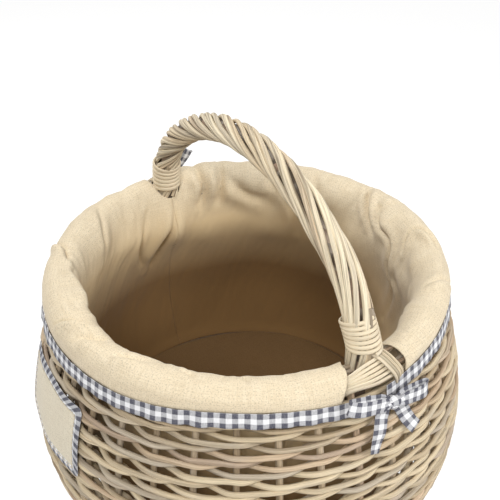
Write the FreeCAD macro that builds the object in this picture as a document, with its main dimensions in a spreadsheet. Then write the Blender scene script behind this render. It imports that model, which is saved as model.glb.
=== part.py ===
# Round wicker picnic basket with a roped arch handle and a tied-in cloth liner.
# Frame: millimetres, +Z up, origin at the centre of the foot on the floor, handle span along X.
import FreeCAD, Part
import Sketcher
import math
import os

os.makedirs("parts", exist_ok=True)
Vector = FreeCAD.Vector
doc = FreeCAD.newDocument("picnic_basket")


# ---------------------------------------------------------------- driving sizes

DRIVING = [
    # wicker
    ("stake_count", 36, "upright stakes round the wall, a multiple of three"),
    ("stake_dia", 6.0, "stake rod"),
    ("weaver_dia", 5.0, "rod woven between the stakes"),
    ("row_gap", 0.2, "air between one woven row and the next"),
    ("wale_rows", 3, "rows in the top wale"),
    ("weave_gap", 0.15, "air between rods that cross"),
    # shape of the wall, on the stake centreline
    ("belly_radius", 201.0, "widest radius"),
    ("belly_height", 90.0, "height of the widest point"),
    ("rim_radius", 166.0, "radius at the rim"),
    ("rim_height", 232.0, "height of the rim"),
    ("heel_radius", 174.0, "radius where the wall would meet the plane of the sticks"),
    ("heel_bend", 16.0, "radius of the bend in a stake where it turns up"),
    # base
    ("foot_radius", 151.0, "middle of the foot hoop"),
    ("foot_width", 12.0, "foot hoop, across"),
    ("foot_height", 8.0, "foot hoop, floor to top"),
    ("foot_round", 2.0, "rounding of the foot hoop's upper edges"),
    ("stick_dia", 8.0, "base stick"),
    ("stick_end", 150.0, "radius that the base sticks reach"),
    ("stick_bend", 8.0, "radius of the bend where a base stick fans out"),
    ("slit_wall", 1.9, "wood left over and under the slit in a pierced stick"),
    ("slit_gap", 0.1, "air between the shaved sticks and the slit"),
    ("stick_gap", 2.0, "air between the sticks that pass through"),
    ("base_rod_dia", 5.0, "rod woven round the base sticks"),
    ("base_ring_first", 36.0, "radius of the first base ring"),
    ("stake_root", 96.0, "radius at which a stake starts beside its stick"),
    ("upsett_outer_count", 5, "rings of the upsett outside the bend"),
    ("upsett_inner_count", 2, "rings of the upsett inside the bend"),
    ("upsett_gap", 0.6, "air between the stakes and the outer rings of the upsett"),
    # border
    ("border_rod_dia", 7.0, "rods of the rolled border"),
    ("border_drop", 4.0, "inner and outer border rods, below the rim"),
    ("border_gap", 0.25, "air round the handle and the stake ends"),
    # handle
    ("handle_inset", 4.0, "handle leg inside the rim's stake line"),
    ("handle_rise", 119.5, "rise of the bow's centreline over the spring line"),
    ("shoulder_radius", 100.0, "bend of the bow over each leg"),
    ("bow_dia", 15.5, "core of the handle"),
    ("leg_reach", 56.0, "depth of each leg under the border"),
    ("slype_gap", 1.0, "air between the slanted cut on a leg and the weave"),
    ("slype_length", 26.0, "height of the slanted cut on a leg"),
    ("roping_count", 12, "rods laid round the core"),
    ("roping_dia", 4.5, "rod laid round the core"),
    ("roping_gap", 0.5, "air between the core and the rods"),
    ("roping_clear", 2.4, "air between the lashing and the lower ends of the rods"),
    ("lay_left", 0.055, "twist at the left foot, radians in a millimetre"),
    ("lay_right", 0.015, "twist at the right foot, radians in a millimetre"),
    ("whip_dia", 3.4, "cane of the whipping"),
    ("whip_spacing", 0.9, "air between the turns of whipping"),
    ("whip_turns", 7, "turns of whipping on each foot"),
    ("whip_gap", 0.3, "air under the whipping"),
    ("whip_rise", 4.0, "whipping over the lower ends of the rods"),
    ("lash_dia", 2.8, "cane of the cross lashing"),
    ("lash_count", 4, "strands in each leaning bundle"),
    ("lash_spacing", 0.2, "air between the strands"),
    ("lash_first", 1.6, "first strand to the middle of the foot"),
    ("lash_ease", 2.8, "air between the border and the lashing"),
    ("lash_lean", 32.0, "lean of the strands, degrees"),
    # liner
    ("cloth", 2.0, "thickness that stands for the gathered cloth"),
    ("cloth_gap", 0.75, "air between the liner and what it passes"),
    ("seam_gap", 0.1, "opening angle at each side seam, degrees"),
    ("floor_ease", 11.0, "liner's base panel inside the heel of the wall"),
    ("belly_ease", 15.0, "liner inside the weave at the belly"),
    ("neck_drop", 8.0, "start of the liner's neck under the handle's legs"),
    ("collar_ease", 3.6, "collar outside the border and the weave"),
    ("collar_drop", 21.0, "crest to hem"),
    ("slot_drop", 6.0, "depth of the slots' cut under the hem"),
    # trims
    ("ribbon_width", 11.0, "gingham ribbon"),
    ("ribbon_thick", 0.8, "gingham ribbon"),
    ("ribbon_gap", 0.3, "air between ribbon and cloth"),
    ("ribbon_lap", 1.5, "ribbon over the hem"),
    ("ribbon_end", 8.5, "ribbon's end to the middle of the foot, degrees"),
    ("bow_drop", 10.0, "bow knot under the hem"),
    ("knot_size", 9.0, "bow knot, across"),
    ("loop_length", 36.0, "bow loop"),
    ("loop_depth", 13.0, "bow loop, front to back"),
    ("tail_length", 42.0, "bow tail"),
    ("tail_spread", 28.0, "lean of each tail to its side, degrees"),
    ("tail_tilt", 14.0, "lean of each tail away from the wall, degrees"),
    ("label_azimuth", -92.0, "middle of the label round the wall, degrees"),
    ("label_width", 32.0, "label, degrees round the wall"),
    ("label_top", 186.0, "top of the label from the floor"),
    ("label_height", 70.0, "label, top to bottom"),
    ("label_thick", 1.0, "label cloth"),
    ("label_gap", 0.9, "air behind the label"),
    ("binding_width", 8.0, "gingham binding round the label"),
    ("binding_thick", 0.6, "gingham binding"),
]

# Worked out from the driving sizes, so that a change carries through.
DERIVED = [
    # wall and base
    ("weave_offset", "(stake_dia + weaver_dia) / 2 + weave_gap"),
    ("row_pitch", "weaver_dia + row_gap"),
    ("base_rod_pitch", "base_rod_dia + row_gap"),
    ("lower_ring_height", "foot_height + base_rod_dia / 2 + weave_gap"),
    ("stick_height", "lower_ring_height + (base_rod_dia + stick_dia) / 2 + weave_gap"),
    ("upper_ring_height", "stick_height + (base_rod_dia + stick_dia) / 2 + weave_gap"),
    ("slit_height", "stick_dia - 2 * slit_wall"),
    ("shaved_height", "slit_height - 2 * slit_gap"),
    ("long_spacing", "stick_dia + stick_gap"),
    ("cross_spacing", "stick_dia + 1.5 * stick_gap"),
    ("lower_arc", "((belly_radius - heel_radius)^2 + (belly_height - stick_height)^2)"
                  " / (2 * (belly_radius - heel_radius))"),
    ("upper_arc", "((belly_radius - rim_radius)^2 + (rim_height - belly_height)^2)"
                  " / (2 * (belly_radius - rim_radius))"),
    ("heel_centre_height", "stick_height + heel_bend"),
    ("heel_centre_radius", "belly_radius - lower_arc + sqrt((lower_arc - heel_bend)^2"
                           " - (belly_height - heel_centre_height)^2)"),
    ("base_ring_count", "floor((heel_centre_radius - base_rod_pitch - base_ring_first)"
                        " / base_rod_pitch) + 1"),
    ("upsett_outer_bend", "heel_bend + weave_offset + upsett_gap"),
    ("upsett_inner_bend", "heel_bend - weave_offset"),
    ("upsett_outer_step", "asin(row_pitch / (2 * upsett_outer_bend)) * 2 / 1 deg"),
    ("upsett_inner_step", "asin(row_pitch / (2 * upsett_inner_bend)) * 2 / 1 deg"),
    # border
    ("border_low", "rim_height - border_drop"),
    ("border_top", "rim_height + border_rod_dia / 2 + border_gap"),
    ("stake_top", "rim_height - border_gap"),
    ("border_run", "sqrt(upper_arc^2 - (border_low - belly_height)^2)"),
    ("border_line", "belly_radius - upper_arc + border_run"),
    ("border_spread", "((stake_dia + border_rod_dia) / 2 + border_gap) * upper_arc / border_run"),
    ("first_row", "heel_centre_height - 0.6 * row_pitch"),
    ("row_count", "floor((border_low - (border_rod_dia + weaver_dia) / 2 - first_row) / row_pitch) + 1"),
    ("last_row", "first_row + (row_count - 1) * row_pitch"),
    ("last_row_run", "sqrt(upper_arc^2 - (last_row - belly_height)^2)"),
    # handle
    ("handle_half_span", "rim_radius - handle_inset"),
    ("spring_height", "border_top + border_rod_dia / 2 + cloth_gap"),
    ("crown_radius", "((handle_half_span - shoulder_radius)^2 + handle_rise^2 - shoulder_radius^2)"
                     " / (2 * (handle_rise - shoulder_radius))"),
    ("crown_centre", "spring_height + handle_rise - crown_radius"),
    ("leg_tip_height", "border_low - leg_reach"),
    ("slype_radius", "belly_radius - upper_arc + last_row_run"
                     " - weave_offset * upper_arc / last_row_run - weaver_dia / 2 - slype_gap"),
    ("slype_top", "border_low - border_rod_dia / 2 - border_gap"),
    ("lash_radius", "border_line - rim_radius + border_spread + (border_rod_dia + lash_dia) / 2 + lash_ease"),
    ("lash_outer_radius", "lash_radius + lash_dia + border_gap"),
    ("lash_pitch", "(lash_dia + lash_spacing) / cos(lash_lean)"),
    ("lay_radius", "(bow_dia + roping_dia) / 2 + roping_gap"),
    ("roping_start", "border_low + lash_outer_radius * cos(lash_lean) + lash_dia / 2 + roping_clear"),
    ("whip_start", "roping_start + whip_rise"),
    ("whip_pitch", "whip_dia + whip_spacing"),
    ("whip_radius", "lay_radius + (roping_dia + whip_dia) / 2 + whip_gap"),
    # liner and trims
    ("liner_floor", "upper_ring_height + base_rod_dia / 2 + cloth_gap"),
    ("liner_floor_radius", "heel_centre_radius - floor_ease"),
    ("liner_belly_radius", "belly_radius - weave_offset - weaver_dia / 2 - belly_ease"),
    ("liner_neck_radius", "handle_half_span - bow_dia / 2 - cloth_gap"),
    ("liner_neck_height", "leg_tip_height - neck_drop"),
    ("crest_height", "border_top + border_rod_dia / 2 + cloth_gap + cloth"),
    ("hem_height", "crest_height - collar_drop"),
    ("hem_run", "sqrt(upper_arc^2 - (hem_height - belly_height)^2)"),
    ("hem_radius", "belly_radius - upper_arc + hem_run + weave_offset * upper_arc / hem_run"
                   " + weaver_dia / 2 + collar_ease + cloth"),
    ("collar_shoulder", "border_line + border_spread + border_rod_dia / 2 + collar_ease + cloth"),
    ("slot_half_width", "lash_first + (lash_count - 1) * lash_pitch + lash_outer_radius * sin(lash_lean)"
                        " + lash_dia / 2 + border_gap"),
    ("slot_bottom", "hem_height - slot_drop"),
    ("bow_radius", "hem_radius + ribbon_thick + 3 * ribbon_gap + loop_depth / 2"),
    ("bow_height", "hem_height - bow_drop"),
]


def fill_sheet():
    """Write the named sizes into the document's spreadsheet and return it."""
    table = doc.addObject("Spreadsheet::Sheet", "Sizes")
    row = 1
    for alias, value, meaning in DRIVING:
        table.set(f"A{row}", meaning)
        table.set(f"B{row}", str(value))
        table.setAlias(f"B{row}", alias)
        row += 1
    for alias, formula in DERIVED:
        table.set(f"A{row}", "worked out")
        table.set(f"B{row}", "=" + formula)
        table.setAlias(f"B{row}", alias)
        row += 1
    doc.recompute()
    return table


sheet = fill_sheet()
nodes = []


def size(alias):
    """A size from the sheet, as a number."""
    return float(sheet.get(alias))


def count(alias):
    """A whole number from the sheet."""
    return int(round(size(alias)))


def bound(formula):
    """A formula on aliases, written for setExpression."""
    words = {alias for alias, *rest in DRIVING + DERIVED}
    text, word = "", ""
    for letter in formula + " ":
        if letter.isalnum() or letter == "_":
            word += letter
            continue
        text += ("Sizes." + word) if word in words else word
        text += letter
        word = ""
    return text.strip()


def bind(thing, **formulas):
    """Bind properties of a document object to formulas on the sheet; a double underscore is a dot."""
    for name, formula in formulas.items():
        thing.setExpression(name.replace("__", "."), bound(formula))
    return thing


# ---------------------------------------------------------------- builders

def helper(kind, name, **formulas):
    """A Part primitive with its sizes bound to the sheet."""
    return bind(doc.addObject(kind, name), **formulas)


def labelled(thing, label):
    thing.Label = label
    nodes.append(thing)
    return thing


def cut(label, base, tool):
    result = doc.addObject("Part::Cut", label + "_cut")
    result.Base = base
    result.Tool = tool
    return labelled(result, label)


def compound(name, parts):
    result = doc.addObject("Part::Compound", name)
    result.Links = parts
    return result


def shaped(label, shape):
    """A sub-part whose shape comes from the functions below."""
    result = doc.addObject("Part::Feature", label)
    result.Shape = shape
    return labelled(result, label)


def origin_plane(body, role):
    return next(item for item in body.Origin.OriginFeatures if item.Role == role)


def new_sketch(body, name, role):
    sketch = body.newObject("Sketcher::SketchObject", name)
    sketch.AttachmentSupport = [(origin_plane(body, role), "")]
    sketch.MapMode = "FlatFace"
    return sketch


def place_point(sketch, edge, end, x_formula, y_formula):
    """Fix one end of an edge by its two distances from the origin."""
    for kind, formula in (("DistanceX", x_formula), ("DistanceY", y_formula)):
        value = evaluate(formula)
        index = sketch.addConstraint(Sketcher.Constraint(kind, -1, 1, edge, end, value))
        sketch.setExpression(f"Constraints[{index}]", bound(formula))


def evaluate(formula):
    """The present value of a formula on the sheet's aliases."""
    return float(sheet.evalExpression(bound(formula)))


def outline(sketch, corners):
    """A closed outline of straight lines through corners, each a pair of formulas."""
    points = [Vector(evaluate(x), evaluate(y), 0) for x, y in corners]
    number = len(points)
    for i in range(number):
        sketch.addGeometry(Part.LineSegment(points[i], points[(i + 1) % number]), False)
    for i in range(number):
        sketch.addConstraint(Sketcher.Constraint("Coincident", i, 2, (i + 1) % number, 1))
    for i, (x, y) in enumerate(corners):
        place_point(sketch, i, 1, x, y)


def turned_body(label, corners, angle="360", turn=None, keep=True):
    """A body turned about Z from an outline in the XZ plane."""
    body = doc.addObject("PartDesign::Body", label + "_body")
    sketch = new_sketch(body, label + "_section", "XZ_Plane")
    outline(sketch, corners)
    spin = body.newObject("PartDesign::Revolution", label + "_turned")
    spin.Profile = sketch
    spin.ReferenceAxis = (origin_plane(body, "Z_Axis"), [""])
    spin.Midplane = False
    bind(spin, Angle=angle)
    if turn is not None:
        body.Placement = FreeCAD.Placement(Vector(), FreeCAD.Rotation(Vector(0, 0, 1), 0))
        bind(body, Placement__Rotation__Angle=turn)
    if keep:
        labelled(body, label)
    return body


# ---------------------------------------------------------------- rods that follow a path

def arc_edge(start, heading, end):
    """The arc, or the line, that leaves start along heading and reaches end."""
    chord = end - start
    side = chord - heading * chord.dot(heading)
    if side.Length < 1e-6 * chord.Length:
        return Part.LineSegment(start, end).toShape()
    side.normalize()
    sideways = chord.dot(side)
    radius = chord.Length ** 2 / (2 * sideways)
    half = math.atan2(sideways, chord.dot(heading))
    centre = start + side * radius
    middle = centre - side * (radius * math.cos(half)) + heading * (radius * math.sin(half))
    return Part.Arc(start, middle, end).toShape()


def arc_pair(start, heading, end, last_heading):
    """Two arcs, tangent to each other, from start to end with the given headings."""
    chord = end - start
    both = heading + last_heading
    a = 2 * (1 - heading.dot(last_heading))
    b = 2 * chord.dot(both)
    c = -chord.dot(chord)
    reach = -c / b if abs(a) < 1e-9 else (-b + math.sqrt(b * b - 4 * a * c)) / (2 * a)
    first, second = start + heading * reach, end - last_heading * reach
    join = (first + second) * 0.5
    middle_heading = (second - first).normalize()
    return [arc_edge(start, heading, join), arc_edge(join, middle_heading, end)]


def smooth_path(points, headings, closed=False):
    """A wire of tangent arcs through points, with a heading at each."""
    edges = []
    number = len(points)
    for i in range(number if closed else number - 1):
        j = (i + 1) % number
        edges += arc_pair(points[i], headings[i], points[j], headings[j])
    return Part.Wire(edges)


def knee_path(points, radius):
    """A wire of straight runs with an arc of the given radius at each corner."""
    edges = []
    start = points[0]
    for before, corner, after in zip(points, points[1:], points[2:]):
        arriving = (corner - before).normalize()
        leaving = (after - corner).normalize()
        turn = arriving.getAngle(leaving)
        if turn < 1e-6:
            continue
        back = radius * math.tan(turn / 2)
        enter, leave = corner - arriving * back, corner + leaving * back
        edges.append(Part.LineSegment(start, enter).toShape())
        edges.append(arc_edge(enter, arriving, leave))
        start = leave
    edges.append(Part.LineSegment(start, points[-1]).toShape())
    return Part.Wire(edges)


def rod(path, diameter):
    """A round rod along a wire; its volume must be its section times its length."""
    edge = path.Edges[0]
    start = edge.valueAt(edge.FirstParameter)
    heading = edge.tangentAt(edge.FirstParameter)
    disc = Part.Face(Part.Wire([Part.makeCircle(diameter / 2, start, heading)]))
    solid = path.makePipe(disc)
    expected = path.Length * math.pi * diameter ** 2 / 4
    if solid.ShapeType != "Solid" or abs(solid.Volume - expected) > 0.001 * expected:
        raise RuntimeError(f"a rod's volume is {solid.Volume:.1f} and should be {expected:.1f}")
    return solid


# ---------------------------------------------------------------- base

def make_foot_hoop():
    half = "foot_width / 2"
    corners = [
        (f"foot_radius - {half}", "0"),
        (f"foot_radius + {half}", "0"),
        (f"foot_radius + {half}", "foot_height"),
        (f"foot_radius - {half}", "foot_height"),
    ]
    body = turned_body("foot_hoop", corners)
    turned = body.Tip
    doc.recompute()
    top = size("foot_height") - 0.01
    upper = [f"Edge{i + 1}" for i, edge in enumerate(turned.Shape.Edges) if edge.BoundBox.ZMin > top]
    rounding = body.newObject("PartDesign::Fillet", "foot_hoop_rounding")
    rounding.Base = (turned, upper)
    bind(rounding, Radius="min(foot_round; foot_width / 3)")
    body.Tip = rounding


def fanned_stick(offset, angle, across):
    """One base stick: straight through the middle, then fanned out to a radial line."""
    reach, height = size("stick_end"), size("stick_height")
    end_x, end_y = reach * math.cos(angle), reach * math.sin(angle)
    if angle == 0:
        points = [(-reach, 0), (reach, 0)]
    else:
        knee = offset / math.tan(angle)
        points = [(-end_x, end_y), (-knee, offset), (knee, offset), (end_x, end_y)]
    if across:
        points = [(y, x) for x, y in points]
    return rod(knee_path([Vector(x, y, height) for x, y in points], size("stick_bend")), size("stick_dia"))


def make_base_sticks():
    """Five shaved sticks pass through slits in four others, and all fan out evenly."""
    fan = math.pi / 9
    long_sticks = [fanned_stick(step * size("long_spacing"), step * fan, False) for step in range(-2, 3)]
    cross_sticks = [
        fanned_stick(step * size("cross_spacing"), step * fan, True) for step in (-1.5, -0.5, 0.5, 1.5)
    ]
    plain_long = doc.addObject("Part::Feature", "long_sticks_plain")
    plain_long.Shape = Part.makeCompound(long_sticks)
    plain_cross = doc.addObject("Part::Feature", "cross_sticks_plain")
    plain_cross.Shape = Part.makeCompound(cross_sticks)
    half_x = "(1.5 * cross_spacing + stick_dia / 2 + weave_gap)"
    half_y = "(2 * long_spacing + stick_dia / 2 + weave_gap)"
    shavings = [
        helper("Part::Box", f"shaving_{name}", Length=f"2 * {half_x}", Width=f"2 * {half_y}",
               Height="stick_dia", Placement__Base__x=f"-{half_x}", Placement__Base__y=f"-{half_y}",
               Placement__Base__z=level)
        for name, level in (
            ("above", "stick_height + shaved_height / 2"),
            ("below", "stick_height - shaved_height / 2 - stick_dia"),
        )
    ]
    slit = helper("Part::Box", "slit", Length=f"2 * {half_x}", Width=f"2 * {half_y}", Height="slit_height",
                  Placement__Base__x=f"-{half_x}", Placement__Base__y=f"-{half_y}",
                  Placement__Base__z="stick_height - slit_height / 2")
    cut("base_sticks_long", plain_long, compound("shavings", shavings))
    cut("base_sticks_cross", plain_cross, slit)


def ring(name, radius, thickness, height):
    return helper("Part::Torus", name, Radius1=radius, Radius2=f"{thickness} / 2", Placement__Base__z=height)


def make_base_weave():
    """Rings of rod over and under the base sticks."""
    for level in ("lower", "upper"):
        rings = [
            ring(f"base_{level}_{i}", f"base_ring_first + {i} * base_rod_pitch", "base_rod_dia",
                 f"{level}_ring_height")
            for i in range(count("base_ring_count"))
        ]
        labelled(compound(f"base_weave_{level}_rings", rings), f"base_weave_{level}")


def make_upsett():
    """The rings that hold the stakes where they turn up, outside and inside the bend."""
    rings = []
    for side, first in (("outer", -78), ("inner", -80)):
        for i in range(count(f"upsett_{side}_count")):
            angle = f"({first} + {i} * upsett_{side}_step)"
            bend = f"upsett_{side}_bend"
            rings.append(ring(
                f"upsett_{side}_{i}", f"heel_centre_radius + {bend} * cos({angle})", "weaver_dia",
                f"heel_centre_height + {bend} * sin({angle})"))
    labelled(compound("upsett_rings", rings), "upsett_wale")


# ---------------------------------------------------------------- wall

def make_stakes():
    """One stake swept along its line, then repeated round the axis."""
    body = doc.addObject("PartDesign::Body", "stakes_body")
    body.AllowCompound = True
    path = new_sketch(body, "stake_line", "XZ_Plane")
    root, level, bend = size("stake_root"), size("stick_height"), size("heel_bend")
    heel_x, heel_z = size("heel_centre_radius"), size("heel_centre_height")
    lower, upper, belly = size("lower_arc"), size("upper_arc"), size("belly_height")
    lower_x, upper_x = size("belly_radius") - lower, size("belly_radius") - upper
    heel_end = math.atan2(heel_z - belly, heel_x - lower_x)
    rim_end = math.asin((size("stake_top") - belly) / upper)
    up = Vector(0, 0, 1)
    path.addGeometry(Part.LineSegment(Vector(root, level, 0), Vector(heel_x, level, 0)), False)
    for x, y, radius, start, end in (
        (heel_x, heel_z, bend, -math.pi / 2, heel_end),
        (lower_x, belly, lower, heel_end, 0),
        (upper_x, belly, upper, 0, rim_end),
    ):
        path.addGeometry(Part.ArcOfCircle(Part.Circle(Vector(x, y, 0), up, radius), start, end), False)
    place_point(path, 0, 1, "stake_root", "stick_height")
    path.addConstraint(Sketcher.Constraint("Horizontal", 0))
    for edge, formula in ((1, "heel_bend"), (2, "lower_arc"), (3, "upper_arc")):
        path.addConstraint(Sketcher.Constraint("Tangent", edge - 1, 2, edge, 1))
        fix(path, "Radius", (edge,), formula)
    fix(path, "DistanceX", (-1, 1, 2, 3), "belly_radius - lower_arc")
    fix(path, "DistanceY", (-1, 1, 2, 3), "belly_height")
    fix(path, "DistanceY", (-1, 1, 3, 3), "belly_height")
    fix(path, "DistanceY", (-1, 1, 3, 2), "stake_top")
    section = round_section(body, "stake_section", "YZ_Plane", "stake_root", "0", "stick_height", "stake_dia")
    pipe = swept(body, "stake", section, path, 4)
    pattern = body.newObject("PartDesign::PolarPattern", "stake_pattern")
    pattern.Originals = [pipe]
    pattern.Axis = (origin_plane(body, "Z_Axis"), [""])
    pattern.Angle = 360
    bind(pattern, Occurrences="stake_count")
    body.Tip = pattern
    bind(body, Placement__Rotation__Angle="180 / stake_count")
    labelled(body, "stakes")


def fix(sketch, kind, where, formula):
    """Add a constraint whose value follows a formula."""
    index = sketch.addConstraint(Sketcher.Constraint(kind, *where, evaluate(formula)))
    sketch.setExpression(f"Constraints[{index}]", bound(formula))


def round_section(body, name, plane, offset, x_formula, y_formula, diameter):
    """A circle in a plane parallel to one of the body's own."""
    section = new_sketch(body, name, plane)
    bind(section, AttachmentOffset__Base__z=offset)
    centre = Vector(evaluate(x_formula), evaluate(y_formula), 0)
    section.addGeometry(Part.Circle(centre, Vector(0, 0, 1), evaluate(diameter) / 2), False)
    place_point(section, 0, 3, x_formula, y_formula)
    fix(section, "Radius", (0,), f"{diameter} / 2")
    return section


def swept(body, name, section, path, edges):
    """Sweep a section along the edges of a sketch."""
    pipe = body.newObject("PartDesign::AdditivePipe", name)
    pipe.Profile = section
    pipe.Spine = (path, [f"Edge{i + 1}" for i in range(edges)])
    return pipe


def stake_line(height):
    """The radius of the stake line at a height above the heel, and the cosine of its slope."""
    arc = size("upper_arc") if height > size("belly_height") else size("lower_arc")
    rise = height - size("belly_height")
    drop = math.sqrt(arc ** 2 - rise ** 2)
    return size("belly_radius") - arc + drop, drop / arc


def woven_row(height, shift):
    """A rod that passes outside two stakes and inside the third, all the way round."""
    line, cosine = stake_line(height)
    offset = size("weave_offset") / cosine
    stakes = count("stake_count")
    points, headings = [], []
    for i in range(stakes):
        angle = 2 * math.pi * (i + 0.5) / stakes
        radius = line - offset if (i - shift) % 3 == 0 else line + offset
        points.append(Vector(radius * math.cos(angle), radius * math.sin(angle), height))
        headings.append(Vector(-math.sin(angle), math.cos(angle), 0))
    return rod(smooth_path(points, headings, closed=True), size("weaver_dia"))


def make_weave():
    """The rows in four bands; each row starts one stake on from the row under it."""
    rows = count("row_count")
    lower, middle = rows // 3, 2 * rows // 3
    wale = rows - count("wale_rows")
    bands = {
        "weave_lower": range(0, lower),
        "weave_middle": range(lower, middle),
        "weave_upper": range(middle, wale),
        "top_wale": range(wale, rows),
    }
    for label, band in bands.items():
        rods = [woven_row(size("first_row") + row * size("row_pitch"), row) for row in band]
        shaped(label, Part.makeCompound(rods))


def make_border():
    """Three border rods round the rim, notched where the handle passes down through them."""
    legs = [
        helper("Part::Cylinder", f"leg_space_{side}", Radius="bow_dia / 2 + border_gap",
               Height="4 * border_rod_dia", Placement__Base__x=f"{sign} * handle_half_span",
               Placement__Base__z="rim_height - 2 * border_rod_dia")
        for side, sign in (("right", 1), ("left", -1))
    ]
    legs = compound("leg_spaces", legs)
    for name, radius, height in (
        ("outer", "border_line + border_spread", "border_low"),
        ("inner", "border_line - border_spread", "border_low"),
        ("top", "rim_radius", "border_top"),
    ):
        cut(f"border_{name}_rod", ring(f"border_{name}_ring", radius, "border_rod_dia", height), legs)


# ---------------------------------------------------------------- handle

def make_handle_bow():
    """The core of the handle: two straight legs, a bend over each and a flatter crown."""
    body = doc.addObject("PartDesign::Body", "handle_bow_body")
    path = new_sketch(body, "bow_line", "XZ_Plane")
    span, tip, spring = size("handle_half_span"), size("leg_tip_height"), size("spring_height")
    shoulder, crown, centre = size("shoulder_radius"), size("crown_radius"), size("crown_centre")
    turn = math.atan2(spring - centre, span - shoulder)
    up = Vector(0, 0, 1)
    path.addGeometry(Part.LineSegment(Vector(span, tip, 0), Vector(span, spring, 0)), False)
    for x, y, radius, start, end in (
        (span - shoulder, spring, shoulder, 0, turn),
        (0, centre, crown, turn, math.pi - turn),
        (shoulder - span, spring, shoulder, math.pi - turn, math.pi),
    ):
        path.addGeometry(Part.ArcOfCircle(Part.Circle(Vector(x, y, 0), up, radius), start, end), False)
    path.addGeometry(Part.LineSegment(Vector(-span, spring, 0), Vector(-span, tip, 0)), False)
    place_point(path, 0, 1, "handle_half_span", "leg_tip_height")
    path.addConstraint(Sketcher.Constraint("Vertical", 0))
    for edge in range(1, 5):
        path.addConstraint(Sketcher.Constraint("Tangent", edge - 1, 2, edge, 1))
    fix(path, "Radius", (1,), "shoulder_radius")
    fix(path, "DistanceY", (-1, 1, 1, 3), "spring_height")
    fix(path, "Radius", (2,), "crown_radius")
    path.addConstraint(Sketcher.Constraint("PointOnObject", 2, 3, -2))
    fix(path, "Radius", (3,), "shoulder_radius")
    fix(path, "DistanceY", (-1, 1, 3, 3), "spring_height")
    path.addConstraint(Sketcher.Constraint("Vertical", 4))
    fix(path, "DistanceY", (-1, 1, 4, 2), "leg_tip_height")
    section = round_section(body, "bow_section", "XY_Plane", "leg_tip_height", "handle_half_span", "0", "bow_dia")
    swept(body, "bow_sweep", section, path, 5)
    for side, sign in (("right", ""), ("left", "-")):
        slype = new_sketch(body, f"slype_{side}_section", "XZ_Plane")
        edge_x = "(handle_half_span + bow_dia)"
        outline(slype, [
            (f"{sign}slype_radius", "slype_top"),
            (f"{sign}slype_radius", "last_row - row_pitch / 2"),
            (f"{sign}(handle_half_span + bow_dia / 2)", "last_row - row_pitch / 2 - slype_length"),
            (f"{sign}{edge_x}", "last_row - row_pitch / 2 - slype_length"),
            (f"{sign}{edge_x}", "slype_top"),
        ])
        pocket = body.newObject("PartDesign::Pocket", f"slype_{side}")
        pocket.Profile = slype
        pocket.Type = "Length"
        pocket.Midplane = True
        bind(pocket, Length="2 * bow_dia")
    labelled(body, "handle_bow")


def bow_frame(travel):
    """Place, heading and outward direction on the bow's centreline, from its left spring point."""
    span, shoulder, crown = size("handle_half_span"), size("shoulder_radius"), size("crown_radius")
    turn = math.atan2(size("spring_height") - size("crown_centre"), span - shoulder)
    first = shoulder * turn
    over = crown * (math.pi - 2 * turn)
    if travel < first:
        centre = Vector(shoulder - span, 0, size("spring_height"))
        radius, angle = shoulder, math.pi - travel / shoulder
    elif travel < first + over:
        centre = Vector(0, 0, size("crown_centre"))
        radius, angle = crown, math.pi - turn - (travel - first) / crown
    else:
        centre = Vector(span - shoulder, 0, size("spring_height"))
        radius, angle = shoulder, turn - (travel - first - over) / shoulder
    outward = Vector(math.cos(angle), 0, math.sin(angle))
    heading = Vector(math.sin(angle), 0, -math.cos(angle))
    return centre + outward * radius, heading, outward, radius


def bow_length():
    span, shoulder = size("handle_half_span"), size("shoulder_radius")
    turn = math.atan2(size("spring_height") - size("crown_centre"), span - shoulder)
    return 2 * shoulder * turn + size("crown_radius") * (math.pi - 2 * turn)


def travel_to(height):
    """How far along the bow's centreline a height on the shoulder is."""
    return size("shoulder_radius") * math.asin((height - size("spring_height")) / size("shoulder_radius"))


def laid_path(start, end, steps, radius, phase, rate):
    """A path that winds round the bow; phase(travel) is its angle and rate(travel) its change."""
    points, headings = [], []
    for i in range(steps + 1):
        travel = start + (end - start) * i / steps
        place, heading, outward, bend = bow_frame(travel)
        sideways = heading.cross(outward)
        cosine, sine = math.cos(phase(travel)), math.sin(phase(travel))
        points.append(place + outward * (radius * cosine) + sideways * (radius * sine))
        along = heading * (1 + radius * cosine / bend)
        around = (sideways * cosine - outward * sine) * (radius * rate(travel))
        headings.append((along + around).normalize())
    return smooth_path(points, headings)


def make_roping():
    """Rods laid round the core, twisted hard at the left foot and opening out to the right."""
    length = bow_length()
    start = travel_to(size("roping_start"))
    left, right = size("lay_left"), size("lay_right")
    number = count("roping_count")
    steps = 28

    def rate(travel):
        return left + (right - left) * travel / length

    def turned(travel):
        return left * travel + (right - left) * travel ** 2 / (2 * length)

    for i in range(number):
        path = laid_path(start, length - start, steps, size("lay_radius"),
                         lambda travel, i=i: turned(travel) + 2 * math.pi * i / number, rate)
        shaped(f"roping_rod_{i + 1:02d}", rod(path, size("roping_dia")))


def make_whippings():
    """Cane wound round each foot of the handle."""
    rate = 2 * math.pi / size("whip_pitch")
    turns = count("whip_turns")
    low = travel_to(size("whip_start"))
    run = turns * size("whip_pitch")
    for side, start in (("left", low), ("right", bow_length() - low - run)):
        path = laid_path(start, start + run, 8 * turns, size("whip_radius"),
                         lambda travel: rate * travel, lambda travel: rate)
        shaped(f"whipping_{side}", rod(path, size("whip_dia")))


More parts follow.
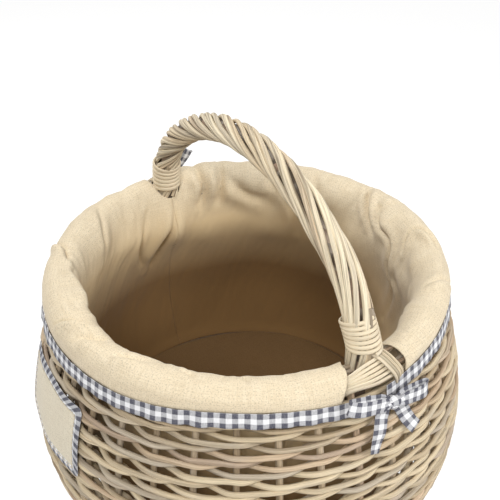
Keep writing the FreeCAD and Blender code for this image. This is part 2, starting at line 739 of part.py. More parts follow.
def make_lashings():
    """Two crossing bundles of cane over the border at each foot of the handle."""
    lean = math.radians(size("lash_lean"))
    for side, outward in (("right", 1), ("left", -1)):
        for name, way, radius in (
            ("a", 1, size("lash_radius")),
            ("b", -1, size("lash_outer_radius")),
        ):
            strands = []
            for i in range(count("lash_count")):
                middle = Vector(
                    outward * size("rim_radius"),
                    way * (size("lash_first") + i * size("lash_pitch")),
                    size("border_low"))
                across = Vector(outward, 0, 0)
                upward = Vector(0, way * math.sin(lean), math.cos(lean))
                ends = [
                    middle + (across * math.cos(angle) + upward * math.sin(angle)) * radius
                    for angle in (math.radians(-6), math.radians(45), math.radians(96))
                ]
                strands.append(rod(Part.Wire([Part.Arc(*ends).toShape()]), size("lash_dia")))
            shaped(f"lashing_{side}_{name}", Part.makeCompound(strands))


# ---------------------------------------------------------------- liner

def make_liner():
    """A round base panel, and two wall panels that fold out over the border as a collar."""
    outer = [
        ("liner_floor_radius + cloth + ribbon_gap", "liner_floor"),
        ("liner_belly_radius", "belly_height"),
        ("liner_neck_radius", "liner_neck_height"),
        ("liner_neck_radius", "crest_height - 3 * cloth"),
        ("liner_neck_radius + 3 * cloth", "crest_height - cloth"),
        ("border_line + border_spread", "crest_height - cloth"),
        ("collar_shoulder - cloth", "crest_height - 5 * cloth"),
        ("hem_radius - cloth", "hem_height"),
    ]
    inner = [
        ("hem_radius", "hem_height"),
        ("collar_shoulder", "crest_height - 5 * cloth + cloth / 2"),
        ("border_line + border_spread + cloth", "crest_height"),
        ("liner_neck_radius + 2 * cloth", "crest_height"),
        ("liner_neck_radius - cloth", "crest_height - 3 * cloth + cloth / 2"),
        ("liner_neck_radius - cloth", "liner_neck_height"),
        ("liner_belly_radius - cloth", "belly_height"),
        ("liner_floor_radius + ribbon_gap", "liner_floor"),
    ]
    slots = [
        helper("Part::Box", f"collar_slot_{side}", Length="hem_radius", Width="2 * slot_half_width",
               Height="crest_height", Placement__Base__x=place, Placement__Base__y="-slot_half_width",
               Placement__Base__z="slot_bottom")
        for side, place in (
            ("right", "liner_neck_radius + weave_gap"),
            ("left", "-liner_neck_radius - weave_gap - hem_radius"),
        )
    ]
    slots = compound("collar_slots", slots)
    for label, turn in (("liner_rear_panel", "seam_gap / 2"), ("liner_front_panel", "180 + seam_gap / 2")):
        panel = turned_body(label, outer + inner, angle="180 - seam_gap", turn=turn, keep=False)
        cut(label, panel, slots)
    body = doc.addObject("PartDesign::Body", "liner_base_body")
    disc = round_section(body, "liner_base_section", "XY_Plane", "liner_floor", "0", "0", "2 * liner_floor_radius")
    pad = body.newObject("PartDesign::Pad", "liner_base_pad")
    pad.Profile = disc
    bind(pad, Length="cloth")
    labelled(body, "liner_base_panel")


# ---------------------------------------------------------------- ribbon and bows

def make_ribbons():
    """A ribbon along the hem of each collar half."""
    low = "(hem_height - ribbon_width + ribbon_lap)"
    high = "(hem_height + ribbon_lap)"
    near = "(hem_radius + ribbon_gap)"
    corners = [
        (near, low), (f"{near} + ribbon_thick", low), (f"{near} + ribbon_thick", high), (near, high),
    ]
    for label, turn in (("hem_ribbon_rear", "ribbon_end"), ("hem_ribbon_front", "180 + ribbon_end")):
        turned_body(label, corners, angle="180 - 2 * ribbon_end", turn=turn)


def make_bows():
    """A knot, two loops and two tails under each foot of the handle."""
    ribbon, thick = size("ribbon_width"), size("ribbon_thick")
    radius, height = size("bow_radius"), size("bow_height")
    half, deep = size("loop_length") / 2, size("loop_depth") / 2
    reach = size("knot_size") / 2 + size("ribbon_gap") + half
    for side, sign in (("right", 1), ("left", -1)):
        knot = helper("Part::Ellipsoid", f"bow_{side}_knot_shape", Radius1="knot_size / 2 + ribbon_thick",
                      Radius2="knot_size / 2", Radius3="knot_size / 2",
                      Placement__Base__x=f"{sign} * bow_radius", Placement__Base__z="bow_height")
        labelled(knot, f"bow_{side}_knot")
        loops = []
        for way in (1, -1):
            middle = Vector(sign * radius, way * reach, height - ribbon / 2)
            edges = [
                Part.Ellipse(middle + Vector(0, half - inset, 0), middle + Vector(deep - inset, 0, 0), middle)
                for inset in (0, thick)
            ]
            outside, inside = (Part.Face(Part.Wire([edge.toShape()])) for edge in edges)
            loops.append(outside.cut(inside).extrude(Vector(0, 0, ribbon)))
        shaped(f"bow_{side}_loops", Part.makeCompound(loops))
        tails = [
            helper("Part::Box", f"bow_{side}_tail_{name}", Length="ribbon_thick", Width="ribbon_width",
                   Height="tail_length")
            for name in ("one", "two")
        ]
        for tail, way in zip(tails, (1, -1)):
            outwards = FreeCAD.Rotation(Vector(0, 1, 0), -sign * size("tail_tilt"))
            sideways = FreeCAD.Rotation(Vector(1, 0, 0), 180 + way * size("tail_spread"))
            tail.Placement = FreeCAD.Placement(
                Vector(sign * radius, way * (ribbon / 2 + 1), height - size("knot_size") / 2 - 2),
                outwards.multiply(sideways))
        labelled(compound(f"bow_{side}_tail_pair", tails), f"bow_{side}_tails")


# ---------------------------------------------------------------- label

def wall_face(height):
    """A formula for the outside of the weave at a height over the belly, itself a formula."""
    drop = f"sqrt(upper_arc^2 - ({height} - belly_height)^2)"
    return f"(belly_radius - upper_arc + {drop} + weave_offset * upper_arc / {drop} + weaver_dia / 2)"


def label_section(near, thick, inset):
    """A strip that follows the wall, from top to bottom, in three heights."""
    heights = [
        f"(label_top - {inset})", "(label_top - label_height / 2)", f"(label_top - label_height + {inset})",
    ]
    inside = [(f"{wall_face(z)} + {near}", z) for z in heights]
    outside = [(f"{wall_face(z)} + {near} + {thick}", z) for z in heights]
    return inside + outside[::-1]


def make_label():
    """A blank cloth label on the front, and a gingham binding round its edge."""
    start = "label_azimuth - label_width / 2"
    turned_body("label_patch", label_section("label_gap", "label_thick", "0"), angle="label_width", turn=start)
    near = "label_gap + label_thick + weave_gap"
    frame = turned_body("label_frame", label_section(near, "binding_thick", "0"),
                        angle="label_width", turn=start, keep=False)
    side = "(binding_width / belly_radius * 180 / pi)"
    window = turned_body("label_window", label_section(f"{near} - 1", "binding_thick + 2", "binding_width"),
                         angle=f"label_width - 2 * {side}", turn=f"{start} + {side}", keep=False)
    cut("label_binding", frame, window)


# ---------------------------------------------------------------- build, test and write

def faults():
    """Sentences about what is wrong in the finished document."""
    found = []
    for thing in doc.Objects:
        if "Invalid" in thing.State or "Error" in thing.State:
            found.append(f"{thing.Name} is {thing.State}")
    for node in nodes:
        shape = node.Shape
        if shape.isNull() or not shape.isValid() or not shape.Solids:
            found.append(f"{node.Label} has no valid solid")
    return found


def main():
    make_foot_hoop()
    make_base_sticks()
    make_base_weave()
    make_upsett()
    make_stakes()
    make_weave()
    make_border()
    make_handle_bow()
    make_roping()
    make_whippings()
    make_lashings()
    make_liner()
    make_ribbons()
    make_bows()
    make_label()
    doc.recompute()
    wrong = faults()
    if wrong:
        raise RuntimeError("; ".join(wrong))
    for node in nodes:
        node.Shape.exportStep(f"parts/{node.Label}.step")
        print(node.Label, len(node.Shape.Solids), "solids,", round(node.Shape.Volume), "mm3")


main()
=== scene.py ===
"""The looks of a round wicker picnic basket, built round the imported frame.

Metres, +Z up. The handle spans along X and the label faces -Y.
"""

import logging
import math
from dataclasses import dataclass, field
from enum import Enum

import bpy
import numpy as np
from bpy.types import Material, Mesh, Node, Object
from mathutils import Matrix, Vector


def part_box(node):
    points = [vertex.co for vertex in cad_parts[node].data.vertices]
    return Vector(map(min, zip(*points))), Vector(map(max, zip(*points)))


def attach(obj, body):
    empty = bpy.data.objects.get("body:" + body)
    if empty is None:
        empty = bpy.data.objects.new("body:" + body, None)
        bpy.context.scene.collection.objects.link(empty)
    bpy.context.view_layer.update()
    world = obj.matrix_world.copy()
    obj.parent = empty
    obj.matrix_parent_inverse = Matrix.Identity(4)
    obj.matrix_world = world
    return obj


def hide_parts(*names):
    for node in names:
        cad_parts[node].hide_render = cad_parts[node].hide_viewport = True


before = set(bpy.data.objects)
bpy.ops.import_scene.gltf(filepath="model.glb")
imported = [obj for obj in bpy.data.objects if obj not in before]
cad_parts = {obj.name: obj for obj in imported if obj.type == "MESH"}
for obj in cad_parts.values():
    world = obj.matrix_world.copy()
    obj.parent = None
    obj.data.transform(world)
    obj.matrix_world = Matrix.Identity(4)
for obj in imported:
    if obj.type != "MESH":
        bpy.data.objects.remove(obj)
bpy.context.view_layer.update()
BODY = "root"
LOG = logging.getLogger("picnic_basket")
MM = 0.001
FULL_TURN = 2 * math.pi
WHITE = (1.0, 1.0, 1.0, 1.0)
Colour = tuple[float, float, float]
Place = tuple[float, float, float]
Socket = bpy.types.NodeSocket


class Slot(Enum):
    """The record's material slots."""

    BUFF_WILLOW = "buff_willow"
    GREY_WILLOW = "grey_willow"
    ROPED_WILLOW = "roped_willow"
    SPLIT_WILLOW = "split_willow"
    PALE_CANE = "pale_cane"
    LINEN = "linen"
    GINGHAM = "gingham"
    LABEL_CLOTH = "label_cloth"


class Foot(Enum):
    """The two feet of the handle, by the side of the basket they stand on."""

    RIGHT = 1
    LEFT = -1

    @property
    def side(self) -> str:
        """The side's name, as the nodes spell it."""
        return self.name.lower()


# -------------------- node trees


class Tree:
    """A node tree, made a node at a time."""

    def __init__(self, tree: bpy.types.NodeTree) -> None:
        """Take a tree to add to."""
        self.tree = tree

    def add(self, kind: str, settings: dict | None = None, inputs: dict | None = None) -> Node:
        """Add a node.

        Args:
            kind: the node's type.
            settings: the node's own properties.
            inputs: a value, a socket or a Value for each named or numbered input.

        Returns:
            The new node.
        """
        node = self.tree.nodes.new(kind)
        for key, value in (settings or {}).items():
            setattr(node, key, value)
        for key, value in (inputs or {}).items():
            self.feed(node.inputs[key], value)
        return node

    def feed(self, socket: Socket, value: object) -> None:
        """Link to an input, or set the input's own value.

        Args:
            socket: the input.
            value: a value, a socket or a Value.
        """
        if isinstance(value, Value):
            value = value.socket
        if isinstance(value, Socket):
            self.tree.links.new(value, socket)
        else:
            socket.default_value = value

    def math(self, operation: str, *values: object) -> "Value":
        """A Math node's result."""
        node = self.add("ShaderNodeMath", {"operation": operation}, dict(enumerate(values)))
        return Value(self, node.outputs[0])


class Shader(Tree):
    """The shader tree of a material or a world."""

    def __init__(self, owner: Material | bpy.types.World) -> None:
        """Open the owner's tree.

        Args:
            owner: a material or a world.
        """
        owner.use_nodes = True
        super().__init__(owner.node_tree)
        self.owner = owner

    def finish(self, inputs: dict[str, object]) -> Material:
        """Set the inputs of the material's Principled shader.

        Args:
            inputs: a value, a socket or a Value for each named input.

        Returns:
            The material.
        """
        surface = self.tree.nodes["Principled BSDF"]
        for name, value in inputs.items():
            self.feed(surface.inputs[name], value)
        return self.owner

    def noise(self, vector: object, size: Place, detail: float = 2.0, roughness: float = 0.5) -> "Value":
        """Noise on a stretched vector.

        Args:
            vector: the coordinates, in metres.
            size: how often the noise repeats in a metre, along each axis.
            detail: the number of octaves.
            roughness: the weight of the finer octaves.

        Returns:
            The noise, from 0 to 1.
        """
        stretched = self.add("ShaderNodeMapping", {"vector_type": "POINT"}, {
            "Vector": vector, "Scale": size})
        made = self.add("ShaderNodeTexNoise", None, {
            "Vector": stretched.outputs[0], "Scale": 1.0, "Detail": detail, "Roughness": roughness})
        return Value(self, made.outputs["Fac"])

    def ramp(self, factor: object, *stops: tuple[float, float]) -> "Value":
        """Grey levels along a factor.

        Args:
            factor: the place on the ramp.
            stops: each stop's place and level.

        Returns:
            The level.
        """
        node = self.add("ShaderNodeValToRGB", None, {"Fac": factor})
        bands = node.color_ramp.elements
        while len(bands) < len(stops):
            bands.new(0.5)
        for band, (place, level) in zip(bands, stops):
            band.position = place
            band.color = (level, level, level, 1.0)
        return Value(self, node.outputs["Color"])

    def blend(self, factor: object, first: object, second: object) -> Socket:
        """Two colours mixed by a factor.

        Args:
            factor: the second colour's share.
            first: a colour or a socket.
            second: a colour or a socket.

        Returns:
            The mixed colour.
        """
        node = self.add("ShaderNodeMix", {"data_type": "RGBA"}, {0: factor})
        for number, colour in ((6, first), (7, second)):
            if isinstance(colour, tuple):
                colour = (*colour, 1.0)
            self.feed(node.inputs[number], colour)
        return node.outputs[2]

    def bump(self, height: object, distance: float, strength: float, under: object | None = None) -> Socket:
        """A bumped normal, on top of another one when it is given.

        Args:
            height: the relief.
            distance: its depth in metres.
            strength: how much of it shows.
            under: the normal that it lies on.

        Returns:
            The normal.
        """
        node = self.add("ShaderNodeBump", None, {
            "Height": height, "Distance": distance, "Strength": strength})
        if under is not None:
            self.feed(node.inputs["Normal"], under)
        return node.outputs[0]

    def cloth(self) -> tuple[Socket, "Value", "Value"]:
        """A cloth's own flat measure, in metres.

        Returns:
            The whole measure, then its two parts.
        """
        flat = self.add("ShaderNodeUVMap", {"uv_map": "UVMap"}).outputs["UV"]
        split = self.add("ShaderNodeSeparateXYZ", None, {0: flat})
        return flat, Value(self, split.outputs[0]), Value(self, split.outputs[1])


class Value:
    """A number inside a tree that takes part in sums."""

    def __init__(self, graph: Tree, socket: Socket) -> None:
        """Wrap a socket."""
        self.graph = graph
        self.socket = socket

    def __add__(self, other: "Value | float") -> "Value":
        """The sum."""
        return self.graph.math("ADD", self, other)

    def __radd__(self, other: float) -> "Value":
        """The sum, from the right."""
        return self.graph.math("ADD", other, self)

    def __sub__(self, other: "Value | float") -> "Value":
        """The difference."""
        return self.graph.math("SUBTRACT", self, other)

    def __rsub__(self, other: float) -> "Value":
        """The difference, from the right."""
        return self.graph.math("SUBTRACT", other, self)

    def __mul__(self, other: "Value | float") -> "Value":
        """The product."""
        return self.graph.math("MULTIPLY", self, other)

    def __truediv__(self, other: "Value | float") -> "Value":
        """The quotient."""
        return self.graph.math("DIVIDE", self, other)


class Input(Enum):
    """The kinds of input that a tree takes."""

    NUMBER = "NodeSocketFloat"
    COUNT = "NodeSocketInt"
    MATERIAL = "NodeSocketMaterial"


class Graph(Tree):
    """A Geometry Nodes tree."""

    def __init__(self, name: str, inputs: dict[str, Input]) -> None:
        """Start a tree with a geometry socket at each end and the named inputs.

        Args:
            name: the tree's name.
            inputs: each input's name and kind.
        """
        super().__init__(bpy.data.node_groups.new(name, "GeometryNodeTree"))
        sockets = self.tree.interface
        sockets.new_socket("Geometry", in_out="INPUT", socket_type="NodeSocketGeometry")
        self.identifiers = {
            label: sockets.new_socket(label, in_out="INPUT", socket_type=kind.value).identifier
            for label, kind in inputs.items()
        }
        sockets.new_socket("Geometry", in_out="OUTPUT", socket_type="NodeSocketGeometry")
        self.entry = self.tree.nodes.new("NodeGroupInput")
        self.exit = self.tree.nodes.new("NodeGroupOutput")

    def given(self, label: str) -> Value:
        """One of the tree's inputs."""
        return Value(self, self.entry.outputs[label])

    def start_line(self) -> Socket:
        """The curve along the edges of the mesh that the tree starts from."""
        return self.add("GeometryNodeMeshToCurve", None, {"Mesh": self.entry.outputs["Geometry"]}).outputs[0]

    def loop(self, points: Value) -> Socket:
        """A full turn as an open curve whose ends meet."""
        return self.add("GeometryNodeCurveArc", {"mode": "RADIUS"}, {
            "Resolution": points, "Radius": 1.0, "Start Angle": 0.0, "Sweep Angle": FULL_TURN}).outputs[0]

    def copies(self, curve: Socket, amount: Value) -> tuple[Socket, Value]:
        """Copy a curve.

        Args:
            curve: the curve.
            amount: how many copies.

        Returns:
            The copies, and each one's number.
        """
        node = self.add("GeometryNodeDuplicateElements", {"domain": "SPLINE"}, {
            "Geometry": curve, "Amount": amount})
        return node.outputs[0], Value(self, node.outputs["Duplicate Index"])

    def position(self) -> Socket:
        """Where a point is."""
        return self.add("GeometryNodeInputPosition").outputs[0]

    def turned(self, angle: Value) -> tuple[Value, Value]:
        """The cosine and the sine of an angle."""
        return self.math("COSINE", angle), self.math("SINE", angle)

    def vector(self, x: object, y: object, z: object) -> Socket:
        """Three numbers as a vector."""
        return self.add("ShaderNodeCombineXYZ", None, {"X": x, "Y": y, "Z": z}).outputs[0]

    def parts(self, vector: Socket) -> tuple[Value, Value, Value]:
        """A vector's three numbers."""
        node = self.add("ShaderNodeSeparateXYZ", None, {0: vector})
        return Value(self, node.outputs[0]), Value(self, node.outputs[1]), Value(self, node.outputs[2])

    def vector_math(self, operation: str, first: object, second: object) -> Socket:
        """A Vector Math node's vector."""
        return self.add("ShaderNodeVectorMath", {"operation": operation}, {0: first, 1: second}).outputs[0]

    def scaled(self, vector: object, scale: object) -> Socket:
        """A vector times a number."""
        node = self.add("ShaderNodeVectorMath", {"operation": "SCALE"}, {0: vector, "Scale": scale})
        return node.outputs[0]

    def noise(self, vector: object, scale: float) -> Value:
        """Smooth noise about zero, from about -0.5 to 0.5."""
        node = self.add("ShaderNodeTexNoise", None, {"Vector": vector, "Scale": scale, "Detail": 1.0})
        return Value(self, node.outputs[0]) - 0.5

    def random(self, low: float, high: float, number: object, seed: object) -> Value:
        """A random number for each whole number.

        Args:
            low: the least.
            high: the most.
            number: the whole number.
            seed: what the draws start from.

        Returns:
            The random number.
        """
        node = self.add("FunctionNodeRandomValue", {"data_type": "FLOAT"}, {"ID": number, "Seed": seed})
        low_socket, high_socket = (s for s in node.inputs if s.type == "VALUE" and s.enabled)
        low_socket.default_value = low
        high_socket.default_value = high
        return Value(self, next(s for s in node.outputs if s.enabled))

    def keep(self, geometry: object, name: str, value: object, kind: str = "FLOAT") -> Socket:
        """Store an attribute on the points.

        Args:
            geometry: what holds the points.
            name: the attribute's name.
            value: its value.
            kind: its type.

        Returns:
            The same geometry with the attribute.
        """
        node = self.add("GeometryNodeStoreNamedAttribute", {"data_type": kind, "domain": "POINT"}, {
            "Geometry": geometry, "Name": name})
        self.feed(next(s for s in node.inputs if s.name == "Value" and s.enabled), value)
        return node.outputs[0]

    def kept(self, name: str, kind: str = "FLOAT") -> Socket:
        """Read an attribute."""
        node = self.add("GeometryNodeInputNamedAttribute", {"data_type": kind}, {"Name": name})
        return next(s for s in node.outputs if s.enabled)

    def moved(self, geometry: object, position: object) -> Socket:
        """Set every point's position."""
        return self.add("GeometryNodeSetPosition", None, {
            "Geometry": geometry, "Position": position}).outputs[0]

    def along(self, measure: str = "Factor") -> Value:
        """How far along its curve a point is, as a share or a length."""
        return Value(self, self.add("GeometryNodeSplineParameter").outputs[measure])

    def rods(self, path: object, radius: Value, tint: Value, sides: int, flat: float = 1.0) -> Socket:
        """Give each curve a rod's round, and the attributes that its finish reads.

        Args:
            path: the curves.
            radius: the rod's radius, which may change along it.
            tint: a number from 0 to 1 that shades each rod.
            sides: the sides of the section.
            flat: the section's depth as a share of its width.

        Returns:
            The mesh.
        """
        path = self.keep(path, "far", self.along("Length"))
        path = self.keep(path, "thick", radius)
        path = self.keep(path, "tint", tint)
        ring = self.add("GeometryNodeCurvePrimitiveCircle", {"mode": "RADIUS"}, {
            "Resolution": sides, "Radius": 1.0})
        ring = self.moved(ring.outputs[0], self.vector_math("MULTIPLY", self.position(), (flat, 1.0, 1.0)))
        ring = self.keep(ring, "round", self.position(), "FLOAT_VECTOR")
        mesh = self.add("GeometryNodeCurveToMesh", None, {
            "Curve": path, "Profile Curve": ring, "Scale": self.kept("thick"), "Fill Caps": True}).outputs[0]
        straight = self.scaled(self.kept("round", "FLOAT_VECTOR"), self.kept("thick"))
        apart = Value(self, self.kept("tint")) * 7.0
        shift = self.vector(0.0, 0.0, Value(self, self.kept("far")) + apart)
        mesh = self.keep(mesh, "grain", self.vector_math("ADD", straight, shift), "FLOAT_VECTOR")
        for name in ("far", "thick", "round"):
            mesh = self.add("GeometryNodeRemoveAttribute", None, {"Geometry": mesh, "Name": name}).outputs[0]
        return mesh

    def close(self, mesh: object) -> None:
        """End the tree: smooth faces, real geometry and the finish.

        Args:
            mesh: the tree's result.
        """
        smooth = self.add("GeometryNodeSetShadeSmooth", {"domain": "FACE"}, {"Geometry": mesh}).outputs[0]
        real = self.add("GeometryNodeRealizeInstances", None, {"Geometry": smooth}).outputs[0]
        dressed = self.add("GeometryNodeSetMaterial", None, {
            "Geometry": real, "Material": self.given("Finish")}).outputs[0]
        self.feed(self.exit.inputs[0], dressed)

    def grow(self, name: str, start: Mesh, values: dict[str, object]) -> Object:
        """Run the tree and keep its result as a plain mesh.

        Args:
            name: the piece's name.
            start: the mesh that the tree starts from.
            values: a value for each of the tree's inputs.

        Returns:
            An object at the origin that holds the mesh.
        """
        maker = bpy.data.objects.new(name + "_maker", start)
        bpy.context.scene.collection.objects.link(maker)
        modifier = maker.modifiers.new("Grow", "NODES")
        modifier.node_group = self.tree
        for label, value in values.items():
            modifier[self.identifiers[label]] = value
        graph = bpy.context.evaluated_depsgraph_get()
        mesh = bpy.data.meshes.new_from_object(maker.evaluated_get(graph), depsgraph=graph)
        maker.modifiers.remove(modifier)
        bpy.data.objects.remove(maker)
        mesh.name = name
        piece = bpy.data.objects.new(name, mesh)
        bpy.context.scene.collection.objects.link(piece)
        return piece


# -------------------- finishes


@dataclass(frozen=True)
class WillowFinish:
    """Peeled willow: long streaks, a tint of its own for each rod, and a dull gloss."""

    name: str
    pale: Colour
    mid: Colour
    dark: Colour
    rosy: Colour = (0.62, 0.42, 0.29)
    grey: Colour = (0.42, 0.37, 0.31)
    streaks: float = 0.55
    gloss: float = 0.52
    follows_rods: bool = True

    def material(self) -> Material:
        """Build the node-based material.

        Returns:
            The material.
        """
        shader = Shader(bpy.data.materials.new(self.name))
        if self.follows_rods:
            grain = shader.add("ShaderNodeAttribute", {"attribute_name": "grain"}).outputs["Vector"]
            stored = shader.add("ShaderNodeAttribute", {"attribute_name": "tint"})
            tint = Value(shader, stored.outputs["Fac"])
        else:
            grain = shader.add("ShaderNodeTexCoord").outputs["Object"]
            tint = shader.noise(grain, (9.0, 9.0, 9.0), 1.0)
        fine = shader.noise(grain, (1500.0, 1500.0, 22.0), 3.0, 0.6)
        broad = shader.noise(grain, (320.0, 320.0, 9.0), 2.0)
        patches = shader.noise(grain, (70.0, 70.0, 28.0), 2.0)
        body = shader.blend(shader.ramp(tint, (0.05, 0.0), (0.75, 1.0)), self.mid, self.pale)
        rosy = shader.ramp(shader.math("FRACT", tint * 7.31), (0.62, 0.0), (0.95, 0.55))
        grey = shader.ramp(shader.math("FRACT", tint * 13.7), (0.66, 0.0), (0.95, 0.6))
        lines = shader.ramp(fine, (0.36, 1.0), (0.56, 0.0)) * (self.streaks * 0.55)
        veins = shader.ramp(broad, (0.34, 1.0), (0.50, 0.0)) * (self.streaks * 0.75)
        worn = shader.ramp(patches, (0.54, 0.0), (0.72, 1.0)) * 0.45
        layers = ((rosy, self.rosy), (grey, self.grey), (lines, self.dark), (veins, self.dark),
                  (worn, self.grey))
        for share, colour in layers:
            body = shader.blend(share, body, colour)
        ridges = shader.bump(fine, 0.00035, 0.8)
        return shader.finish({
            "Base Color": body,
            "Roughness": fine * 0.2 + self.gloss,
            "Normal": shader.bump(broad, 0.0011, 0.6, ridges),
            "Specular IOR Level": 0.35,
        })


@dataclass(frozen=True)
class LinenFinish:
    """Plain-woven cloth with slubs, in its own flat measure.

    Where it has colours for painted shade, it is painted golden brown, then dark brown, down the inside, a
    painted shade for the dark deep in the basket, most on the side away from the lit side, which is given in
    metres round the basket.
    """

    name: str
    warp: Colour
    weft: Colour
    thread: float = 0.0009
    coarse: float = 0.5
    painted_half_shade: Colour | None = None
    painted_deep_shade: Colour | None = None
    lit_side: float = 0.175

    def material(self) -> Material:
        """Build the node-based material.

        Returns:
            The material.
        """
        shader = Shader(bpy.data.materials.new(self.name))
        cloth, round_it, along_it = shader.cloth()
        beat = FULL_TURN / self.thread
        weave = shader.math("SINE", round_it * beat) * shader.math("SINE", along_it * beat)
        slub_u = shader.noise(cloth, (55.0, 1100.0, 1.0), 2.0, 0.6)
        slub_v = shader.noise(cloth, (1100.0, 55.0, 1.0), 2.0, 0.6)
        slubs = (slub_u + slub_v) * 0.5
        clouds = shader.noise(cloth, (9.0, 9.0, 1.0), 3.0)
        specks = shader.noise(cloth, (900.0, 900.0, 1.0), 1.0, 0.5)
        body = shader.blend(shader.ramp(slubs, (0.38, 0.0), (0.62, 1.0)), self.weft, self.warp)
        body = shader.blend(shader.ramp(clouds, (0.4, 0.0), (0.7, 1.0)) * 0.25, body, self.weft)
        fleck = shader.ramp(specks, (0.54, 0.0), (0.68, 1.0)) * 0.62
        body = shader.blend(fleck, body, tuple(0.66 * part for part in self.weft))
        # Painted shade: golden brown, then dark brown, deeper down the inside.
        if self.painted_deep_shade is not None:
            body = self.paint_inside_shade(shader, body, round_it, along_it, clouds)
        under = shader.bump(weave, 0.00012, 0.35 * self.coarse)
        return shader.finish({
            "Base Color": body,
            "Roughness": 0.92,
            "Specular IOR Level": 0.12,
            "Sheen Weight": 0.12,
            "Sheen Roughness": 0.5,
            "Normal": shader.bump(slubs, 0.0006, self.coarse, under),
        })

    def paint_inside_shade(self, shader: Shader, body: Socket, round_it: Value, along_it: Value,
                        clouds: Value) -> Socket:
        """Paint shade down the inside of the cloth: golden brown, then dark brown, deeper down, and less on
        the lit side.

        Args:
            shader: the material under way.
            body: the cloth's own colour.
            round_it: metres round the basket.
            along_it: metres past the crest.
            clouds: a soft noise.

        Returns:
            The colour with the painted shade.
        """
        # Painted shade: darker with depth past the crest, and less towards the lit side, where the lamps
        # reach further in.
        off = shader.math("ABSOLUTE", round_it - self.lit_side)
        bright = shader.ramp(off * 6.0, (0.30, 0.14), (1.0, 1.0))
        depth = (along_it * -6.8 + (clouds - 0.5) * 0.10) * bright
        body = shader.blend(shader.ramp(depth, (0.12, 0.0), (0.46, 1.0)), body, self.painted_half_shade)
        return shader.blend(shader.ramp(depth, (0.38, 0.0), (0.64, 0.6), (0.98, 1.0)), body, self.painted_deep_shade)


@dataclass(frozen=True)
class GinghamFinish:
    """White and grey check in the ribbon's own flat measure."""

    name: str
    white: Colour
    grey: Colour
    check: float

    def material(self) -> Material:
        """Build the node-based material.

        Returns:
            The material.
        """
        shader = Shader(bpy.data.materials.new(self.name))
        cloth, *parts = shader.cloth()
        bands = []
        for part in parts:
            steep = shader.math("SINE", part * (math.pi / self.check)) * 2.5 + 0.5
            bands.append(shader.ramp(steep, (0.0, 0.0), (1.0, 1.0)))
        threads = shader.noise(cloth, (2200.0, 260.0, 1.0), 2.0, 0.6)
        cross = shader.noise(cloth, (260.0, 2200.0, 1.0), 2.0, 0.6)
        mottled = (bands[0] + bands[1]) * 0.5 + (threads - cross) * 0.5
        share = shader.math("MINIMUM", shader.math("MAXIMUM", mottled, 0.0), 1.0)
        return shader.finish({
            "Base Color": shader.blend(share, self.white, self.grey),
            "Roughness": 0.85,
            "Specular IOR Level": 0.2,
            "Normal": shader.bump(threads + cross, 0.0003, 0.5),
        })


class Finishes:
    """The finishes of the basket, made once."""

    def __init__(self) -> None:
        """Make every material."""
        self.weavers = WillowFinish(
            "grey_willow", (0.72, 0.60, 0.41), (0.50, 0.39, 0.25), (0.14, 0.09, 0.05)).material()
        self.stakes = WillowFinish(
            "buff_willow", (0.58, 0.46, 0.31), (0.36, 0.27, 0.17), (0.11, 0.08, 0.05)).material()
        self.roping = WillowFinish(
            "roped_willow", (0.88, 0.77, 0.56), (0.68, 0.53, 0.34), (0.11, 0.07, 0.04), (0.84, 0.66, 0.46),
            (0.70, 0.61, 0.46), 1.0).material()
        # The handle's core is painted near black: a painted shade for the gaps between the roping rods.
        self.core = WillowFinish(
            "buff_willow_core", (0.10, 0.07, 0.045), (0.07, 0.05, 0.03), (0.03, 0.02, 0.015),
            follows_rods=False).material()
        self.split = WillowFinish(
            "split_willow", (0.62, 0.48, 0.31), (0.45, 0.33, 0.21), (0.2, 0.13, 0.08),
            follows_rods=False).material()
        self.sticks = WillowFinish(
            "buff_willow_stick", (0.52, 0.42, 0.30), (0.38, 0.29, 0.2), (0.15, 0.1, 0.06),
            follows_rods=False).material()
        self.cane = WillowFinish(
            "pale_cane", (0.86, 0.76, 0.57), (0.76, 0.64, 0.45), (0.34, 0.24, 0.14), (0.78, 0.62, 0.46),
            (0.62, 0.55, 0.44), 0.4, 0.42).material()
        # The wall linen is painted golden brown, then dark brown, down the inside: painted shade.
        self.linen = LinenFinish(
            "linen", (0.80, 0.695, 0.52), (0.68, 0.565, 0.39), painted_half_shade=(0.77, 0.60, 0.36),
            painted_deep_shade=(0.20, 0.115, 0.045)).material()
        # The base panel's linen is painted dark brown: a painted shade for the deep floor of the basket.
        self.floor_linen_painted_shade = LinenFinish(
            "linen_floor_painted_shade", (0.22, 0.132, 0.058), (0.19, 0.112, 0.046)).material()
        self.label = LinenFinish(
            "label_cloth", (0.82, 0.75, 0.60), (0.72, 0.64, 0.49), 0.0013, 0.8).material()
        self.gingham = GinghamFinish("gingham", (0.86, 0.86, 0.87), (0.095, 0.095, 0.12), 0.0045).material()


# -------------------- shared geometry


def settle(piece: Object, slot: Slot, *nodes: str) -> None:
    """Tie a piece to the frame.

    Args:
        piece: the finished piece.
        slot: the record's slot; not used.
        nodes: the CAD nodes that it stands for.
    """
    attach(piece, BODY)
    if nodes:
        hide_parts(*nodes)
    LOG.info("%s: %d faces", piece.name, len(piece.data.polygons))


def dress_node(node: str, finish: Material) -> None:
    """Give a CAD node that stays in view its finish.

    Args:
        node: the node's name.
        finish: its material.
    """
    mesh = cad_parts[node].data
    mesh.materials.clear()
    mesh.materials.append(finish)
    LOG.info("%s: kept from the frame", node)


def line_mesh(name: str, points: np.ndarray, outward: np.ndarray | None = None) -> Mesh:
    """A chain of edges for a tree to start from.

    Args:
        name: the mesh's name.
        points: the points of the chain.
        outward: a direction at each point.

    Returns:
        The mesh.
    """
    mesh = bpy.data.meshes.new(name)
    edges = [(i, i + 1) for i in range(len(points) - 1)]
    mesh.from_pydata([tuple(p) for p in points], edges, [])
    if outward is not None:
        attribute = mesh.attributes.new("outward", "FLOAT_VECTOR", "POINT")
        attribute.data.foreach_set("vector", np.asarray(outward, np.float32).ravel())
    return mesh


